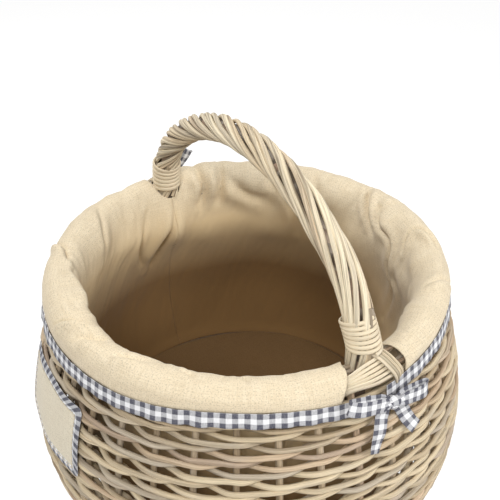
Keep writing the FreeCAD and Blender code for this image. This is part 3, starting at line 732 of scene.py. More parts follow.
def cloth_grid(name: str, points: np.ndarray, flat: np.ndarray, finish: Material,
               thickness: float) -> Object:
    """A piece of cloth: a smooth grid of faces with its flat measure as UVs, given a thickness.

    Args:
        name: the piece's name.
        points: rows by columns by 3, in metres.
        flat: rows by columns by 2, where each point lies on the flat cloth.
        finish: the material.
        thickness: the cloth's thickness.

    Returns:
        The piece.
    """
    rows, columns = points.shape[:2]
    corner = np.arange(rows * columns).reshape(rows, columns)
    faces = np.stack([corner[:-1, :-1], corner[:-1, 1:], corner[1:, 1:], corner[1:, :-1]], axis=-1)
    faces = faces.reshape(-1, 4)
    mesh = bpy.data.meshes.new(name)
    mesh.from_pydata(points.reshape(-1, 3).tolist(), [], faces.tolist())
    layer = mesh.uv_layers.new(name="UVMap")
    layer.data.foreach_set("uv", flat.reshape(-1, 2)[faces.ravel()].ravel().astype(np.float32))
    mesh.polygons.foreach_set("use_smooth", [True] * len(mesh.polygons))
    mesh.materials.append(finish)
    piece = bpy.data.objects.new(name, mesh)
    bpy.context.scene.collection.objects.link(piece)
    modifier = piece.modifiers.new("Thickness", "SOLIDIFY")
    modifier.thickness = thickness
    modifier.offset = 0.0
    modifier.use_even_offset = True
    return piece


def travelled(line: np.ndarray) -> np.ndarray:
    """The distance along a line to each of its points."""
    return np.concatenate([[0], np.cumsum(np.linalg.norm(np.diff(line, axis=0), axis=1))])


def unit(vectors: np.ndarray) -> np.ndarray:
    """The same directions with a length of one."""
    return vectors / np.linalg.norm(vectors, axis=-1, keepdims=True)


def wrap(angle: np.ndarray) -> np.ndarray:
    """The same angle between minus and plus half a turn."""
    return np.angle(np.exp(1j * np.asarray(angle)))


def together(*values: np.ndarray) -> np.ndarray:
    """Several measures of each point of a grid, side by side."""
    return np.stack(np.broadcast_arrays(*values), axis=-1)


def round_the_axis(radius: np.ndarray, angle: np.ndarray, height: np.ndarray) -> np.ndarray:
    """Points from their radius, angle and height."""
    return together(radius * np.cos(angle), radius * np.sin(angle), height)


def outward_from_axis(points: np.ndarray) -> np.ndarray:
    """The level direction away from the axis at each point."""
    return points * [1, 1, 0] / np.linalg.norm(points[..., :2], axis=-1, keepdims=True)


def smooth_curve(points: list[tuple[float, ...]], number: int) -> np.ndarray:
    """A smooth line through points, at even steps of its length.

    Args:
        points: the points it passes through.
        number: how many points to return.

    Returns:
        number points, evenly spaced along the line.
    """
    knots = np.array(points, float)
    padded = np.vstack([2 * knots[0] - knots[1], knots, 2 * knots[-1] - knots[-2]])
    share = np.linspace(0, 1, 24, endpoint=False)[:, None]
    pieces = []
    for a, b, c, d in zip(padded, padded[1:], padded[2:], padded[3:]):
        pieces.append(0.5 * (2 * b + (c - a) * share + (2 * a - 5 * b + 4 * c - d) * share ** 2
                             + (3 * b - a - 3 * c + d) * share ** 3))
    dense = np.vstack(pieces + [knots[-1:]])
    return even_steps(dense, number)


def even_steps(line: np.ndarray, number: int) -> np.ndarray:
    """The same line at even steps of its length.

    Args:
        line: the points of the line.
        number: how many points to return.

    Returns:
        The new points.
    """
    length = travelled(line)
    wanted = np.linspace(0, length[-1], number)
    return np.stack([np.interp(wanted, length, line[:, axis]) for axis in range(line.shape[1])], axis=1)


def directions(line: np.ndarray) -> np.ndarray:
    """The heading at each point of a line."""
    return unit(np.gradient(line, axis=0))


def smooth_step(value: np.ndarray) -> np.ndarray:
    """0 below 0, 1 above 1, and a smooth rise between."""
    value = np.clip(value, 0, 1)
    return value * value * (3 - 2 * value)


@dataclass(frozen=True)
class Waves:
    """Sine waves round and along a cloth, which add up to an uneven surface."""

    around: np.ndarray
    up: np.ndarray
    phase: np.ndarray
    weight: np.ndarray

    @classmethod
    def draw(cls, seed: int, count: int, around: tuple[int, int], up: tuple[float, float]) -> "Waves":
        """Draw a repeatable set.

        Args:
            seed: what the draws start from.
            count: how many waves.
            around: the fewest and most waves in a turn.
            up: the least and most radians of wave for each unit of height.

        Returns:
            The waves.
        """
        source = np.random.default_rng(seed)
        return cls(
            source.integers(around[0], around[1] + 1, count), source.uniform(up[0], up[1], count),
            source.uniform(0, FULL_TURN, count), source.uniform(0.5, 1.0, count))

    def at(self, angle: np.ndarray, height: np.ndarray) -> np.ndarray:
        """The waves' sum.

        Args:
            angle: the angle of each point.
            height: its height.

        Returns:
            The sum, about from -1 to 1.
        """
        total = np.zeros(np.broadcast(angle, height).shape)
        for around, up, phase, weight in zip(self.around, self.up, self.phase, self.weight):
            total = total + weight * np.sin(around * angle + up * height + phase)
        return total / np.sqrt((self.weight ** 2).sum() * 0.5) / 2


# -------------------- wicker


@dataclass(frozen=True)
class WallLine:
    """The centreline of a stake: out along the base, up round the heel and belly, and in to the rim."""

    belly_radius: float = 0.201
    belly_height: float = 0.090
    rim_radius: float = 0.166
    rim_height: float = 0.232
    heel_reach: float = 0.174
    heel_bend: float = 0.016
    root: float = 0.096

    @property
    def stick_height(self) -> float:
        """The height of the base sticks."""
        low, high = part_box("base_sticks_long")
        return (low.z + high.z) / 2

    @property
    def upper_arc(self) -> float:
        """The radius of the wall's arc over the belly."""
        inward, rise = self.belly_radius - self.rim_radius, self.rim_height - self.belly_height
        return (inward ** 2 + rise ** 2) / (2 * inward)

    @property
    def lower_arc(self) -> float:
        """The radius of the wall's arc under the belly."""
        inward, drop = self.belly_radius - self.heel_reach, self.belly_height - self.stick_height
        return (inward ** 2 + drop ** 2) / (2 * inward)

    @property
    def heel_centre(self) -> tuple[float, float]:
        """The centre of the bend at the heel.

        Returns:
            Its radius and height.
        """
        height = self.stick_height + self.heel_bend
        run = math.sqrt((self.lower_arc - self.heel_bend) ** 2 - (self.belly_height - height) ** 2)
        return self.belly_radius - self.lower_arc + run, height

    def radius(self, height: float) -> float:
        """The line's radius at a height over the belly."""
        over = height - self.belly_height
        return self.belly_radius - self.upper_arc + math.sqrt(self.upper_arc ** 2 - over ** 2)

    def points(self) -> np.ndarray:
        """The line from its root to the rim.

        Returns:
            Points in the XZ plane.
        """
        heel_x, heel_z = self.heel_centre
        lower_x = self.belly_radius - self.lower_arc
        turn = math.atan2(heel_z - self.belly_height, heel_x - lower_x)
        top = math.asin((self.rim_height - self.belly_height) / self.upper_arc)
        runs = [np.array([[self.root, self.stick_height]])]
        for x, z, radius, start, end in (
            (heel_x, heel_z, self.heel_bend, -math.pi / 2, turn),
            (lower_x, self.belly_height, self.lower_arc, turn, 0.0),
            (self.belly_radius - self.upper_arc, self.belly_height, self.upper_arc, 0.0, top),
        ):
            angles = np.linspace(start, end, 24)
            runs.append(np.stack([x + radius * np.cos(angles), z + radius * np.sin(angles)], axis=1)[:-1])
        flat = np.vstack(runs + [[[self.rim_radius, self.rim_height]]])
        return np.stack([flat[:, 0], np.zeros(len(flat)), flat[:, 1]], axis=1)


def woven_rows_graph() -> Graph:
    """A tree for rows of rod that pass outside two stakes and inside the third.

    Returns:
        The tree.
    """
    graph = Graph("Woven rows", {
        "Rows": Input.COUNT, "First Row": Input.COUNT, "Start": Input.NUMBER, "Pitch": Input.NUMBER,
        "Stakes": Input.COUNT, "Reach": Input.NUMBER, "Radius": Input.NUMBER, "Seed": Input.COUNT,
        "Finish": Input.MATERIAL,
    })
    stray_out, stray_in, stray_up = 0.0028, 0.0032, 0.0045
    # A hair under three, so that the last point of a row still belongs to its third rod.
    rods_in_a_row = 2.9999
    stakes = graph.given("Stakes")
    loops, number = graph.copies(graph.loop(stakes * 12 + 1), graph.given("Rows"))
    row = number + graph.given("First Row")
    seed = graph.given("Seed")
    begin = graph.math("FLOOR", graph.random(0.0, 12.0, row, seed)) * 3.0 + row
    step = graph.along() * stakes
    cosine, sine = graph.turned((step + begin + 0.5) * FULL_TURN / stakes)
    beat = graph.math("MODULO", step, 3.0)
    near = graph.math("MINIMUM", graph.math("MINIMUM", beat, 3.0 - beat), 1.0)
    swing = graph.math("COSINE", near * math.pi) * -1.0
    uneven = graph.noise(graph.vector(cosine * 9.0, sine * 9.0, row * 3.7), 1.0)
    lift = graph.noise(graph.vector(cosine * 6.0, sine * 6.0, row * 2.3 + 40.0), 1.0)
    sample = graph.add("GeometryNodeSampleCurve", {"mode": "LENGTH", "data_type": "FLOAT"}, {
        "Curves": graph.start_line(), "Length": row * graph.given("Pitch") + graph.given("Start")})
    place = graph.parts(sample.outputs["Position"])
    heading = graph.parts(sample.outputs["Tangent"])
    reach = swing * graph.given("Reach") + uneven * stray_out
    radius = place[0] + heading[2] * reach - heading[0] * lift * stray_in
    height = place[2] - heading[0] * reach + heading[2] * lift * stray_up
    rows = graph.moved(loops, graph.vector(radius * cosine, radius * sine, height))
    rods_laid = graph.along() * rods_in_a_row
    rod = row * 5.0 + graph.math("FLOOR", rods_laid)
    taper = 1.09 - graph.math("FRACT", rods_laid) * 0.2
    thickness = graph.given("Radius") * taper * graph.random(0.94, 1.08, rod, seed)
    graph.close(graph.rods(rows, thickness, graph.random(0.0, 1.0, rod, seed), 8))
    return graph


def stakes_graph() -> Graph:
    """A tree that repeats one line round the axis as rods.

    Returns:
        The tree.
    """
    graph = Graph("Stakes", {
        "Count": Input.COUNT, "Radius": Input.NUMBER, "Seed": Input.COUNT, "Finish": Input.MATERIAL})
    lines, stake = graph.copies(graph.start_line(), graph.given("Count"))
    place = graph.parts(graph.position())
    sway = graph.noise(graph.vector(stake * 3.1, place[0] * 12.0, place[2] * 12.0), 1.0) * 0.0022
    cosine, sine = graph.turned((stake + 0.5) * FULL_TURN / graph.given("Count"))
    rods = graph.moved(lines, graph.vector(
        place[0] * cosine - sway * sine, place[0] * sine + sway * cosine, place[2]))
    seed = graph.given("Seed")
    thickness = graph.given("Radius") * graph.random(0.92, 1.04, stake, seed)
    graph.close(graph.rods(rods, thickness, graph.random(0.0, 1.0, stake, seed), 8))
    return graph


def base_rows_graph() -> Graph:
    """A tree for rings of rod that pass over one base stick and under the next.

    Returns:
        The tree.
    """
    graph = Graph("Base rows", {
        "Rows": Input.COUNT, "Inner Radius": Input.NUMBER, "Pitch": Input.NUMBER, "Sticks": Input.COUNT,
        "Height": Input.NUMBER, "Reach": Input.NUMBER, "Radius": Input.NUMBER, "Seed": Input.COUNT,
        "Finish": Input.MATERIAL,
    })
    sticks = graph.given("Sticks")
    loops, row = graph.copies(graph.loop(sticks * 12 + 1), graph.given("Rows"))
    seed = graph.given("Seed")
    begin = graph.math("FLOOR", graph.random(0.0, 9.0, row, seed)) * 2.0 + row
    step = graph.along() * sticks
    cosine, sine = graph.turned((step + begin) * FULL_TURN / sticks)
    uneven = graph.noise(graph.vector(cosine * 5.0, sine * 5.0, row * 3.7), 1.0)
    radius = graph.given("Inner Radius") + row * graph.given("Pitch") + uneven * 0.002
    height = graph.given("Height") + graph.math("COSINE", step * math.pi) * graph.given("Reach")
    rows = graph.moved(loops, graph.vector(radius * cosine, radius * sine, height))
    thickness = graph.given("Radius") * (1.06 - graph.along() * 0.14) * graph.random(0.95, 1.04, row, seed)
    graph.close(graph.rods(rows, thickness, graph.random(0.0, 1.0, row, seed), 8))
    return graph


def laid_rods_graph(sides: int, flat: float) -> Graph:
    """A tree for rods laid round a centreline, whose mesh holds an outward direction.

    Args:
        sides: the sides of a rod's section.
        flat: the section's depth as a share of its width.

    Returns:
        The tree.
    """
    graph = Graph("Laid rods", {
        "Rods": Input.COUNT, "First Angle": Input.NUMBER, "Lay Radius": Input.NUMBER,
        "Lay Start": Input.NUMBER, "Lay End": Input.NUMBER, "Radius": Input.NUMBER, "Uneven": Input.NUMBER,
        "Points": Input.COUNT, "Seed": Input.COUNT, "Finish": Input.MATERIAL,
    })
    even = graph.add("GeometryNodeResampleCurve", {"mode": "COUNT"}, {
        "Curve": graph.start_line(), "Count": graph.given("Points")}).outputs[0]
    lines, rod = graph.copies(even, graph.given("Rods"))
    seed, uneven = graph.given("Seed"), graph.given("Uneven")
    far, share = graph.along("Length"), graph.along()
    start, end = graph.given("Lay Start"), graph.given("Lay End")
    twist = far * (start + (end - start) * share * 0.5)
    wander = graph.noise(graph.vector(far * 22.0, rod * 5.3 + seed * 2.1, 0.0), 1.0) * uneven
    cosine, sine = graph.turned(
        twist + rod * FULL_TURN / graph.given("Rods") + graph.given("First Angle") + wander * 0.5)
    outward = graph.kept("outward", "FLOAT_VECTOR")
    heading = graph.add("GeometryNodeInputTangent").outputs[0]
    sideways = graph.vector_math("CROSS_PRODUCT", heading, outward)
    proud = graph.noise(graph.vector(far * 17.0, rod * 3.9 + seed * 1.7, 8.0), 1.0) * uneven
    reach = graph.given("Lay Radius") * (proud * 0.16 + 1.0)
    ray = graph.vector_math("ADD", graph.scaled(outward, cosine), graph.scaled(sideways, sine))
    lines = graph.keep(lines, "ray", ray, "FLOAT_VECTOR")
    rods = graph.moved(lines, graph.vector_math("ADD", graph.position(), graph.scaled(ray, reach)))
    normal = graph.add("GeometryNodeSetCurveNormal", {"mode": "FREE"}, {
        "Curve": rods, "Normal": graph.kept("ray", "FLOAT_VECTOR")})
    swell = graph.noise(graph.vector(far * 30.0, rod * 2.7 + seed * 1.3, 3.0), 1.0) * uneven
    thickness = graph.given("Radius") * (1.0 + swell * 0.3)
    mesh = graph.rods(normal.outputs[0], thickness, graph.random(0.0, 1.0, rod, seed), sides, flat)
    graph.close(graph.add("GeometryNodeRemoveAttribute", None, {"Geometry": mesh, "Name": "ray"}).outputs[0])
    return graph


def stitches_graph() -> Graph:
    """A tree for short threads laid end to end along a line.

    Returns:
        The tree.
    """
    graph = Graph("Stitches", {
        "Spacing": Input.NUMBER, "Length": Input.NUMBER, "Radius": Input.NUMBER, "Seed": Input.COUNT,
        "Finish": Input.MATERIAL})
    spots = graph.add("GeometryNodeCurveToPoints", {"mode": "LENGTH"}, {
        "Curve": graph.start_line(), "Length": graph.given("Spacing")})
    seed = graph.given("Seed")
    half = graph.given("Length") * 0.5
    bar = graph.add("GeometryNodeCurvePrimitiveLine", None, {
        "Start": graph.vector(0.0, 0.0, half * -1.0), "End": graph.vector(0.0, 0.0, half)})
    bent = graph.add("GeometryNodeResampleCurve", {"mode": "COUNT"}, {
        "Curve": bar.outputs[0], "Count": 5}).outputs[0]
    place = graph.parts(graph.position())
    dip = place[2] * place[2] * -260.0
    bent = graph.moved(bent, graph.vector(dip, 0.0, place[2]))
    thread = graph.rods(bent, graph.given("Radius"), graph.random(0.3, 0.7, 1, seed), 6)
    number = graph.add("GeometryNodeInputIndex").outputs[0]
    facing = graph.add("FunctionNodeAlignRotationToVector", {"axis": "Z"}, {
        "Vector": spots.outputs["Tangent"]}).outputs[0]
    facing = graph.add("FunctionNodeAlignRotationToVector", {"axis": "X", "pivot_axis": "Z"}, {
        "Rotation": facing, "Vector": graph.kept("outward", "FLOAT_VECTOR")}).outputs[0]
    laid = graph.add("GeometryNodeInstanceOnPoints", None, {
        "Points": spots.outputs["Points"], "Instance": thread, "Rotation": facing,
        "Scale": graph.vector(1.0, 1.0, graph.random(0.85, 1.1, number, seed))})
    graph.close(laid.outputs[0])
    return graph


@dataclass
class Wicker:
    """The base, the stakes, the woven wall and its border."""

    finishes: Finishes
    line: WallLine = field(default_factory=WallLine)
    stakes: int = 36
    stake_radius: float = 0.0030
    weaver_radius: float = 0.00235
    pitch: float = 0.0052
    reach: float = 0.0056
    upsett_start: float = 0.0745
    border_strand: float = 0.001656
    border_lay: float = 42.0

    def build(self) -> None:
        """Make the pieces."""
        self.dress_base()
        self.weave_base()
        self.raise_stakes()
        self.weave_wall()
        self.roll_border()

    def dress_base(self) -> None:
        """Finish the base pieces that stay as the frame has them."""
        dress_node("foot_hoop", self.finishes.split)
        dress_node("base_sticks_long", self.finishes.sticks)
        dress_node("base_sticks_cross", self.finishes.sticks)

    def weave_base(self) -> None:
        """Weave the rings of the base over and under its sticks."""
        sticks = 18
        low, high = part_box("base_weave_lower")
        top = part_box("base_weave_upper")[1]
        rod = 0.0025
        rows = 25
        first = high.x - rod - (rows - 1) * self.pitch
        piece = base_rows_graph().grow("base_weave", bpy.data.meshes.new("base_start"), {
            "Rows": rows, "Inner Radius": first, "Pitch": self.pitch, "Sticks": sticks,
            "Height": (low.z + top.z) / 2, "Reach": (top.z - low.z) / 2 - rod * 1.1, "Radius": rod,
            "Seed": 5, "Finish": self.finishes.weavers})
        settle(piece, Slot.GREY_WILLOW, "base_weave_lower", "base_weave_upper")

    def raise_stakes(self) -> None:
        """Stand the stakes."""
        start = line_mesh("stake_start", self.line.points())
        piece = stakes_graph().grow("wall_stakes", start, {
            "Count": self.stakes, "Radius": self.stake_radius, "Seed": 3, "Finish": self.finishes.stakes})
        settle(piece, Slot.BUFF_WILLOW, "stakes")

    def weave_wall(self) -> None:
        """Weave the wall's rows in the bands that the frame has."""
        graph = woven_rows_graph()
        bands = {"upsett_wale": 5, "weave_lower": 12, "weave_middle": 12, "weave_upper": 11, "top_wale": 3}
        first = 0
        for node, rows in bands.items():
            start = line_mesh(node + "_start", self.line.points())
            piece = graph.grow(node + "_rods", start, {
                "Rows": rows, "First Row": first, "Start": self.upsett_start, "Pitch": self.pitch,
                "Stakes": self.stakes, "Reach": self.reach, "Radius": self.weaver_radius, "Seed": 11,
                "Finish": self.finishes.weavers})
            settle(piece, Slot.GREY_WILLOW, node)
            first += rows

    def roll_border(self) -> None:
        """Lay the border's rods round the rim in twisted threes."""
        graph = laid_rods_graph(8, 1.0)
        gap, overlap = 0.066, 0.02
        whole = [(overlap, FULL_TURN + overlap)]
        halves = [(gap, math.pi - gap), (math.pi + gap, FULL_TURN - gap)]
        for name, stretches in {"outer": whole, "inner": halves, "top": halves}.items():
            node = f"border_{name}_rod"
            low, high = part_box(node)
            radius = high.y - (high.z - low.z) / 2
            height = (low.z + high.z) / 2
            for number, (start, end) in enumerate(stretches):
                ring = round_the_axis(1.0, np.linspace(start, end, 240), 0.0)
                mesh = line_mesh(node + "_start", ring * radius + [0, 0, height], ring)
                piece = graph.grow(f"border_{name}_strands_{number + 1}", mesh, {
                    "Rods": 3, "First Angle": 0.4, "Lay Radius": 0.0020,
                    "Lay Start": self.border_lay, "Lay End": self.border_lay,
                    "Radius": self.border_strand, "Uneven": 0.6, "Points": 300,
                    "Seed": 17 + number, "Finish": self.finishes.stakes})
                settle(piece, Slot.BUFF_WILLOW, node)


# -------------------- handle


@dataclass(frozen=True)
class BowLine:
    """The handle's centreline: a bend over each leg and a flatter crown."""

    half_span: float = 0.1645
    spring_height: float = 0.240
    rise: float = 0.1195
    shoulder: float = 0.093

    @property
    def crown(self) -> float:
        """The radius of the crown."""
        inset = self.half_span - self.shoulder
        return (inset ** 2 + self.rise ** 2 - self.shoulder ** 2) / (2 * (self.rise - self.shoulder))

    @property
    def turn(self) -> float:
        """The angle at which a shoulder meets the crown."""
        centre = self.spring_height + self.rise - self.crown
        return math.atan2(self.spring_height - centre, self.half_span - self.shoulder)

    @property
    def length(self) -> float:
        """The line's length from spring to spring."""
        return 2 * self.shoulder * self.turn + self.crown * (math.pi - 2 * self.turn)

    def at(self, travel: float) -> tuple[np.ndarray, np.ndarray]:
        """A place on the line.

        Args:
            travel: metres from the left spring.

        Returns:
            The place, and the direction out from its bend.
        """
        first, over = self.shoulder * self.turn, self.crown * (math.pi - 2 * self.turn)
        below = min(travel, self.length - travel)
        if below < 0:
            side = -1.0 if travel < 0 else 1.0
            return np.array([side * self.half_span, 0, self.spring_height + below]), np.array([side, 0, 0])
        if travel < first:
            x, z, radius = self.shoulder - self.half_span, self.spring_height, self.shoulder
            angle = math.pi - travel / self.shoulder
        elif travel < first + over:
            x, z, radius = 0.0, self.spring_height + self.rise - self.crown, self.crown
            angle = math.pi - self.turn - (travel - first) / self.crown
        else:
            x, z, radius = self.half_span - self.shoulder, self.spring_height, self.shoulder
            angle = self.turn - (travel - first - over) / self.shoulder
        ray = np.array([math.cos(angle), 0, math.sin(angle)])
        return np.array([x, 0, z]) + ray * radius, ray

    def stretch(self, start: float, end: float, number: int) -> tuple[np.ndarray, np.ndarray]:
        """Points and outward directions along part of the line."""
        pairs = [self.at(travel) for travel in np.linspace(start, end, number)]
        return np.array([place for place, ray in pairs]), np.array([ray for place, ray in pairs])


@dataclass(frozen=True)
class Whipping:
    """How the cane is wound round a foot: where it starts over the spring, and how its turns lie."""

    start: float
    turns: int
    pitch: float
    lean: float
    half_width: float

    @property
    def length(self) -> float:
        """How much of the foot it covers."""
        return self.turns * self.pitch


@dataclass
class Handle:
    """The roped handle, with a whipping and a cross lashing at each foot.

    The lashings' routes are the two edge strands of each bundle, in millimetres from lash_centre.
    Each filler has its angle round the core, how far it stands over the whipping, and its radius.
    """

    finishes: Finishes
    line: BowLine = field(default_factory=BowLine)
    rods: int = 12
    rod_radius: float = 0.00245
    lay_radius: float = 0.0103
    rod_start: float = -0.006
    lay_left: float = 55.0
    lay_right: float = 15.0
    whip_radius: float = 0.0137
    right_whipping: Whipping = Whipping(0.0125, 7, 0.0034, 0.26, 0.0018)
    left_whipping: Whipping = Whipping(0.0050, 6, 0.0050, -0.10, 0.0023)
    lash_centre: tuple[float, float] = (0.1672, 0.2290)
    over_lash: tuple[tuple[Place, ...], ...] = (
        ((2, -2, 23), (11.5, 4, 20), (17, 8.5, 14.5), (21, 14, 6), (19, 20, -7), (10, 24, -15)),
        ((1, 9, 22), (8.5, 14.5, 18.5), (14, 19, 13), (17.5, 25, 3), (15, 27.5, -7), (7, 29, -14)))
    under_lash: tuple[tuple[Place, ...], ...] = (
        ((4, 13, 20), (9.5, 6, 18.5), (10.5, -9, 16.5), (8.5, -22, 9.5), (2, -31, 1)),
        ((16, 20, 1), (19.5, 12, 4), (20, -4, 3.5), (15, -20, 1), (8, -30, -7)))
    fillers: tuple[Place, ...] = ((0.05, 0.0075, 0.0026), (0.62, 0.0055, 0.0021), (2.6, 0.005, 0.0026))

    def build(self) -> None:
        """Make the pieces."""
        # The core takes the near-black finish, painted shade for the gaps between the rods.
        dress_node("handle_bow", self.finishes.core)
        self.lay_rods()
        for foot in Foot:
            self.whip(foot)
            self.lash(foot)
            self.fill(foot)

    def lay_rods(self) -> None:
        """Lay the rods round the core."""
        graph = laid_rods_graph(12, 1.0)
        points, rays = self.line.stretch(self.rod_start, self.line.length - self.rod_start, 220)
        for number in range(self.rods):
            node = f"roping_rod_{number + 1:02d}"
            radius = self.rod_radius * (0.82 + 0.30 * ((number * 5) % self.rods) / self.rods)
            first = FULL_TURN * (number + 0.22 * math.sin(number * 2.4)) / self.rods
            piece = graph.grow(f"handle_rod_{number + 1:02d}", line_mesh(node + "_start", points, rays), {
                "Rods": 1, "First Angle": first, "Lay Radius": self.lay_radius,
                "Lay Start": self.lay_left, "Lay End": self.lay_right, "Radius": radius,
                "Uneven": 0.75, "Points": len(points), "Seed": 30 + number, "Finish": self.finishes.roping})
            settle(piece, Slot.ROPED_WILLOW, node)

    def whipping(self, foot: Foot) -> Whipping:
        """The whipping at a foot."""
        return self.right_whipping if foot is Foot.RIGHT else self.left_whipping

    def foot_line(self, foot: Foot, start: float, end: float, number: int) -> tuple[np.ndarray, np.ndarray]:
        """A stretch of the handle's line, measured up from one foot.

        Args:
            foot: the foot.
            start: metres over the spring.
            end: metres over the spring.
            number: how many points to return.

        Returns:
            The points, and each one's outward direction.
        """
        points, rays = self.line.stretch(start, end, number)
        if foot is Foot.RIGHT:
            points, rays = points * [-1, 1, 1], rays * [-1, 1, 1]
        return points, rays

    def whip(self, foot: Foot) -> None:
        """Wind flat cane round a foot.

        Args:
            foot: the foot.
        """
        wound = self.whipping(foot)
        points, rays = self.foot_line(foot, wound.start, wound.start + wound.length, 60)
        points = points + rays * (np.linspace(0.5, -0.5, 60) * wound.length * wound.lean)[:, None]
        lay = FULL_TURN / wound.pitch
        mesh = line_mesh("whip_start", points, rays)
        piece = laid_rods_graph(12, 0.55).grow(f"whipping_{foot.side}_cane", mesh, {
            "Rods": 1, "First Angle": 0.0, "Lay Radius": self.whip_radius, "Lay Start": lay, "Lay End": lay,
            "Radius": wound.half_width, "Uneven": 0.22, "Points": wound.turns * 36,
            "Seed": 50, "Finish": self.finishes.cane})
        settle(piece, Slot.PALE_CANE, f"whipping_{foot.side}")

    def lash(self, foot: Foot) -> None:
        """Cross two leaning bundles of cane over the border at a foot.

        Args:
            foot: the foot.
        """
        graph = laid_rods_graph(10, 0.7)
        turned = np.array([foot.value, foot.value, 1])
        middle = np.array([foot.value * self.lash_centre[0], 0.0, self.lash_centre[1]])
        for name, (first, last), number, half_width, finish in (
                ("a", self.over_lash, 4, 0.00145, self.finishes.roping),
                ("b", self.under_lash, 6, 0.00165, self.finishes.cane)):
            node = f"lashing_{foot.side}_{name}"
            for strand, share in enumerate(np.linspace(0, 1, number)):
                route = np.array(first) * (1 - share) + np.array(last) * share
                line = smooth_curve([tuple(point) for point in route * MM * turned], 44)
                rays = unit(line - line.mean(axis=0) * [0.2, 1.0, 1.0])
                piece = graph.grow(f"{node}_cane_{strand + 1}", line_mesh(node, middle + line, rays), {
                    "Rods": 1, "First Angle": 0.0, "Lay Radius": 0.0, "Lay Start": 0.0, "Lay End": 0.0,
                    "Radius": half_width, "Uneven": 0.45, "Points": len(line),
                    "Seed": 60 + strand * 2 + number, "Finish": finish})
                settle(piece, Slot.PALE_CANE, node)

    def fill(self, foot: Foot) -> None:
        """Push short filler rods under the whipping, with their cut ends showing over it.

        Args:
            foot: the foot.
        """
        graph = laid_rods_graph(14, 1.0)
        wound = self.whipping(foot)
        top = wound.start + wound.length
        for number, (angle, proud, radius) in enumerate(self.fillers):
            points, rays = self.foot_line(foot, wound.start + 0.004, top + proud, 24)
            mesh = line_mesh("filler", points, rays)
            piece = graph.grow(f"handle_filler_{foot.side}_{number + 1}", mesh, {
                "Rods": 1, "First Angle": angle, "Lay Radius": self.lay_radius + 0.0001,
                "Lay Start": 6.0, "Lay End": 6.0, "Radius": radius, "Uneven": 0.3, "Points": len(points),
                "Seed": 80 + number, "Finish": self.finishes.stakes})
            settle(piece, Slot.BUFF_WILLOW)


# -------------------- liner


@dataclass(frozen=True)
class Fold:
    """A crease in the liner: a narrow valley with a soft lip on each side.

    Its route is given as degrees round the basket and millimetres past the crest, down the collar
    when positive and down the inside when negative.
    """

    route: tuple[tuple[float, float], ...]
    depth: float
    width: float = 0.0024
    lip: float = 0.8
    other_lip: float = 0.3

    def push(self, around: np.ndarray, travel: np.ndarray, girth: float) -> np.ndarray:
        """How far the fold moves each point of the cloth towards its outer face.

        Args:
            around: the angle of each point, in radians.
            travel: metres past the crest.
            girth: the radius at which angles are measured.

        Returns:
            The push at each point, in metres.
        """
        knots = [(math.radians(angle) * girth, far * MM) for angle, far in self.route]
        number = 48
        line = smooth_curve(knots, number)
        middle = math.radians(sum(angle for angle, far in self.route) / len(self.route))
        nearest = np.round((middle - around) / FULL_TURN) * FULL_TURN
        places = np.stack([(around + nearest) * girth, travel], axis=-1)
        gap = places[..., None, :] - line
        far = np.linalg.norm(gap, axis=-1)
        index = far.argmin(axis=-1)
        heading = directions(line)[index]
        offset = np.take_along_axis(gap, index[..., None, None], axis=-2)[..., 0, :]
        side = np.sign(heading[..., 0] * offset[..., 1] - heading[..., 1] * offset[..., 0])
        distance = far.min(axis=-1)
        fade = np.sin(np.clip(index / (number - 1), 0.04, 0.96) * math.pi) ** 0.6
        valley = np.exp(-(distance / self.width) ** 2)
        ridge = np.exp(-((distance - 2.1 * self.width) / (1.7 * self.width)) ** 2)
        lips = np.where(side > 0, self.lip, self.other_lip)
        return self.depth * fade * (lips * ridge - valley)


@dataclass(frozen=True)
class Swell:
    """A soft bulge in the liner, or a hollow when its height is negative.

    Its angle is in degrees, and its place past the crest, its reach and its height in millimetres.
    """

    angle: float
    travel: float
    reach_round: float
    reach_along: float
    height: float

    def push(self, around: np.ndarray, travel: np.ndarray, girth: float) -> np.ndarray:
        """How far the bulge moves each point of the cloth towards its outer face.

        Args:
            around: the angle of each point, in radians.
            travel: metres past the crest.
            girth: the radius at which angles are measured.

        Returns:
            The push at each point, in metres.
        """
        turned = wrap(around - math.radians(self.angle)) * girth / (self.reach_round * MM)
        along = (travel - self.travel * MM) / (self.reach_along * MM)
        return self.height * MM * np.exp(-turned ** 2 - along ** 2)


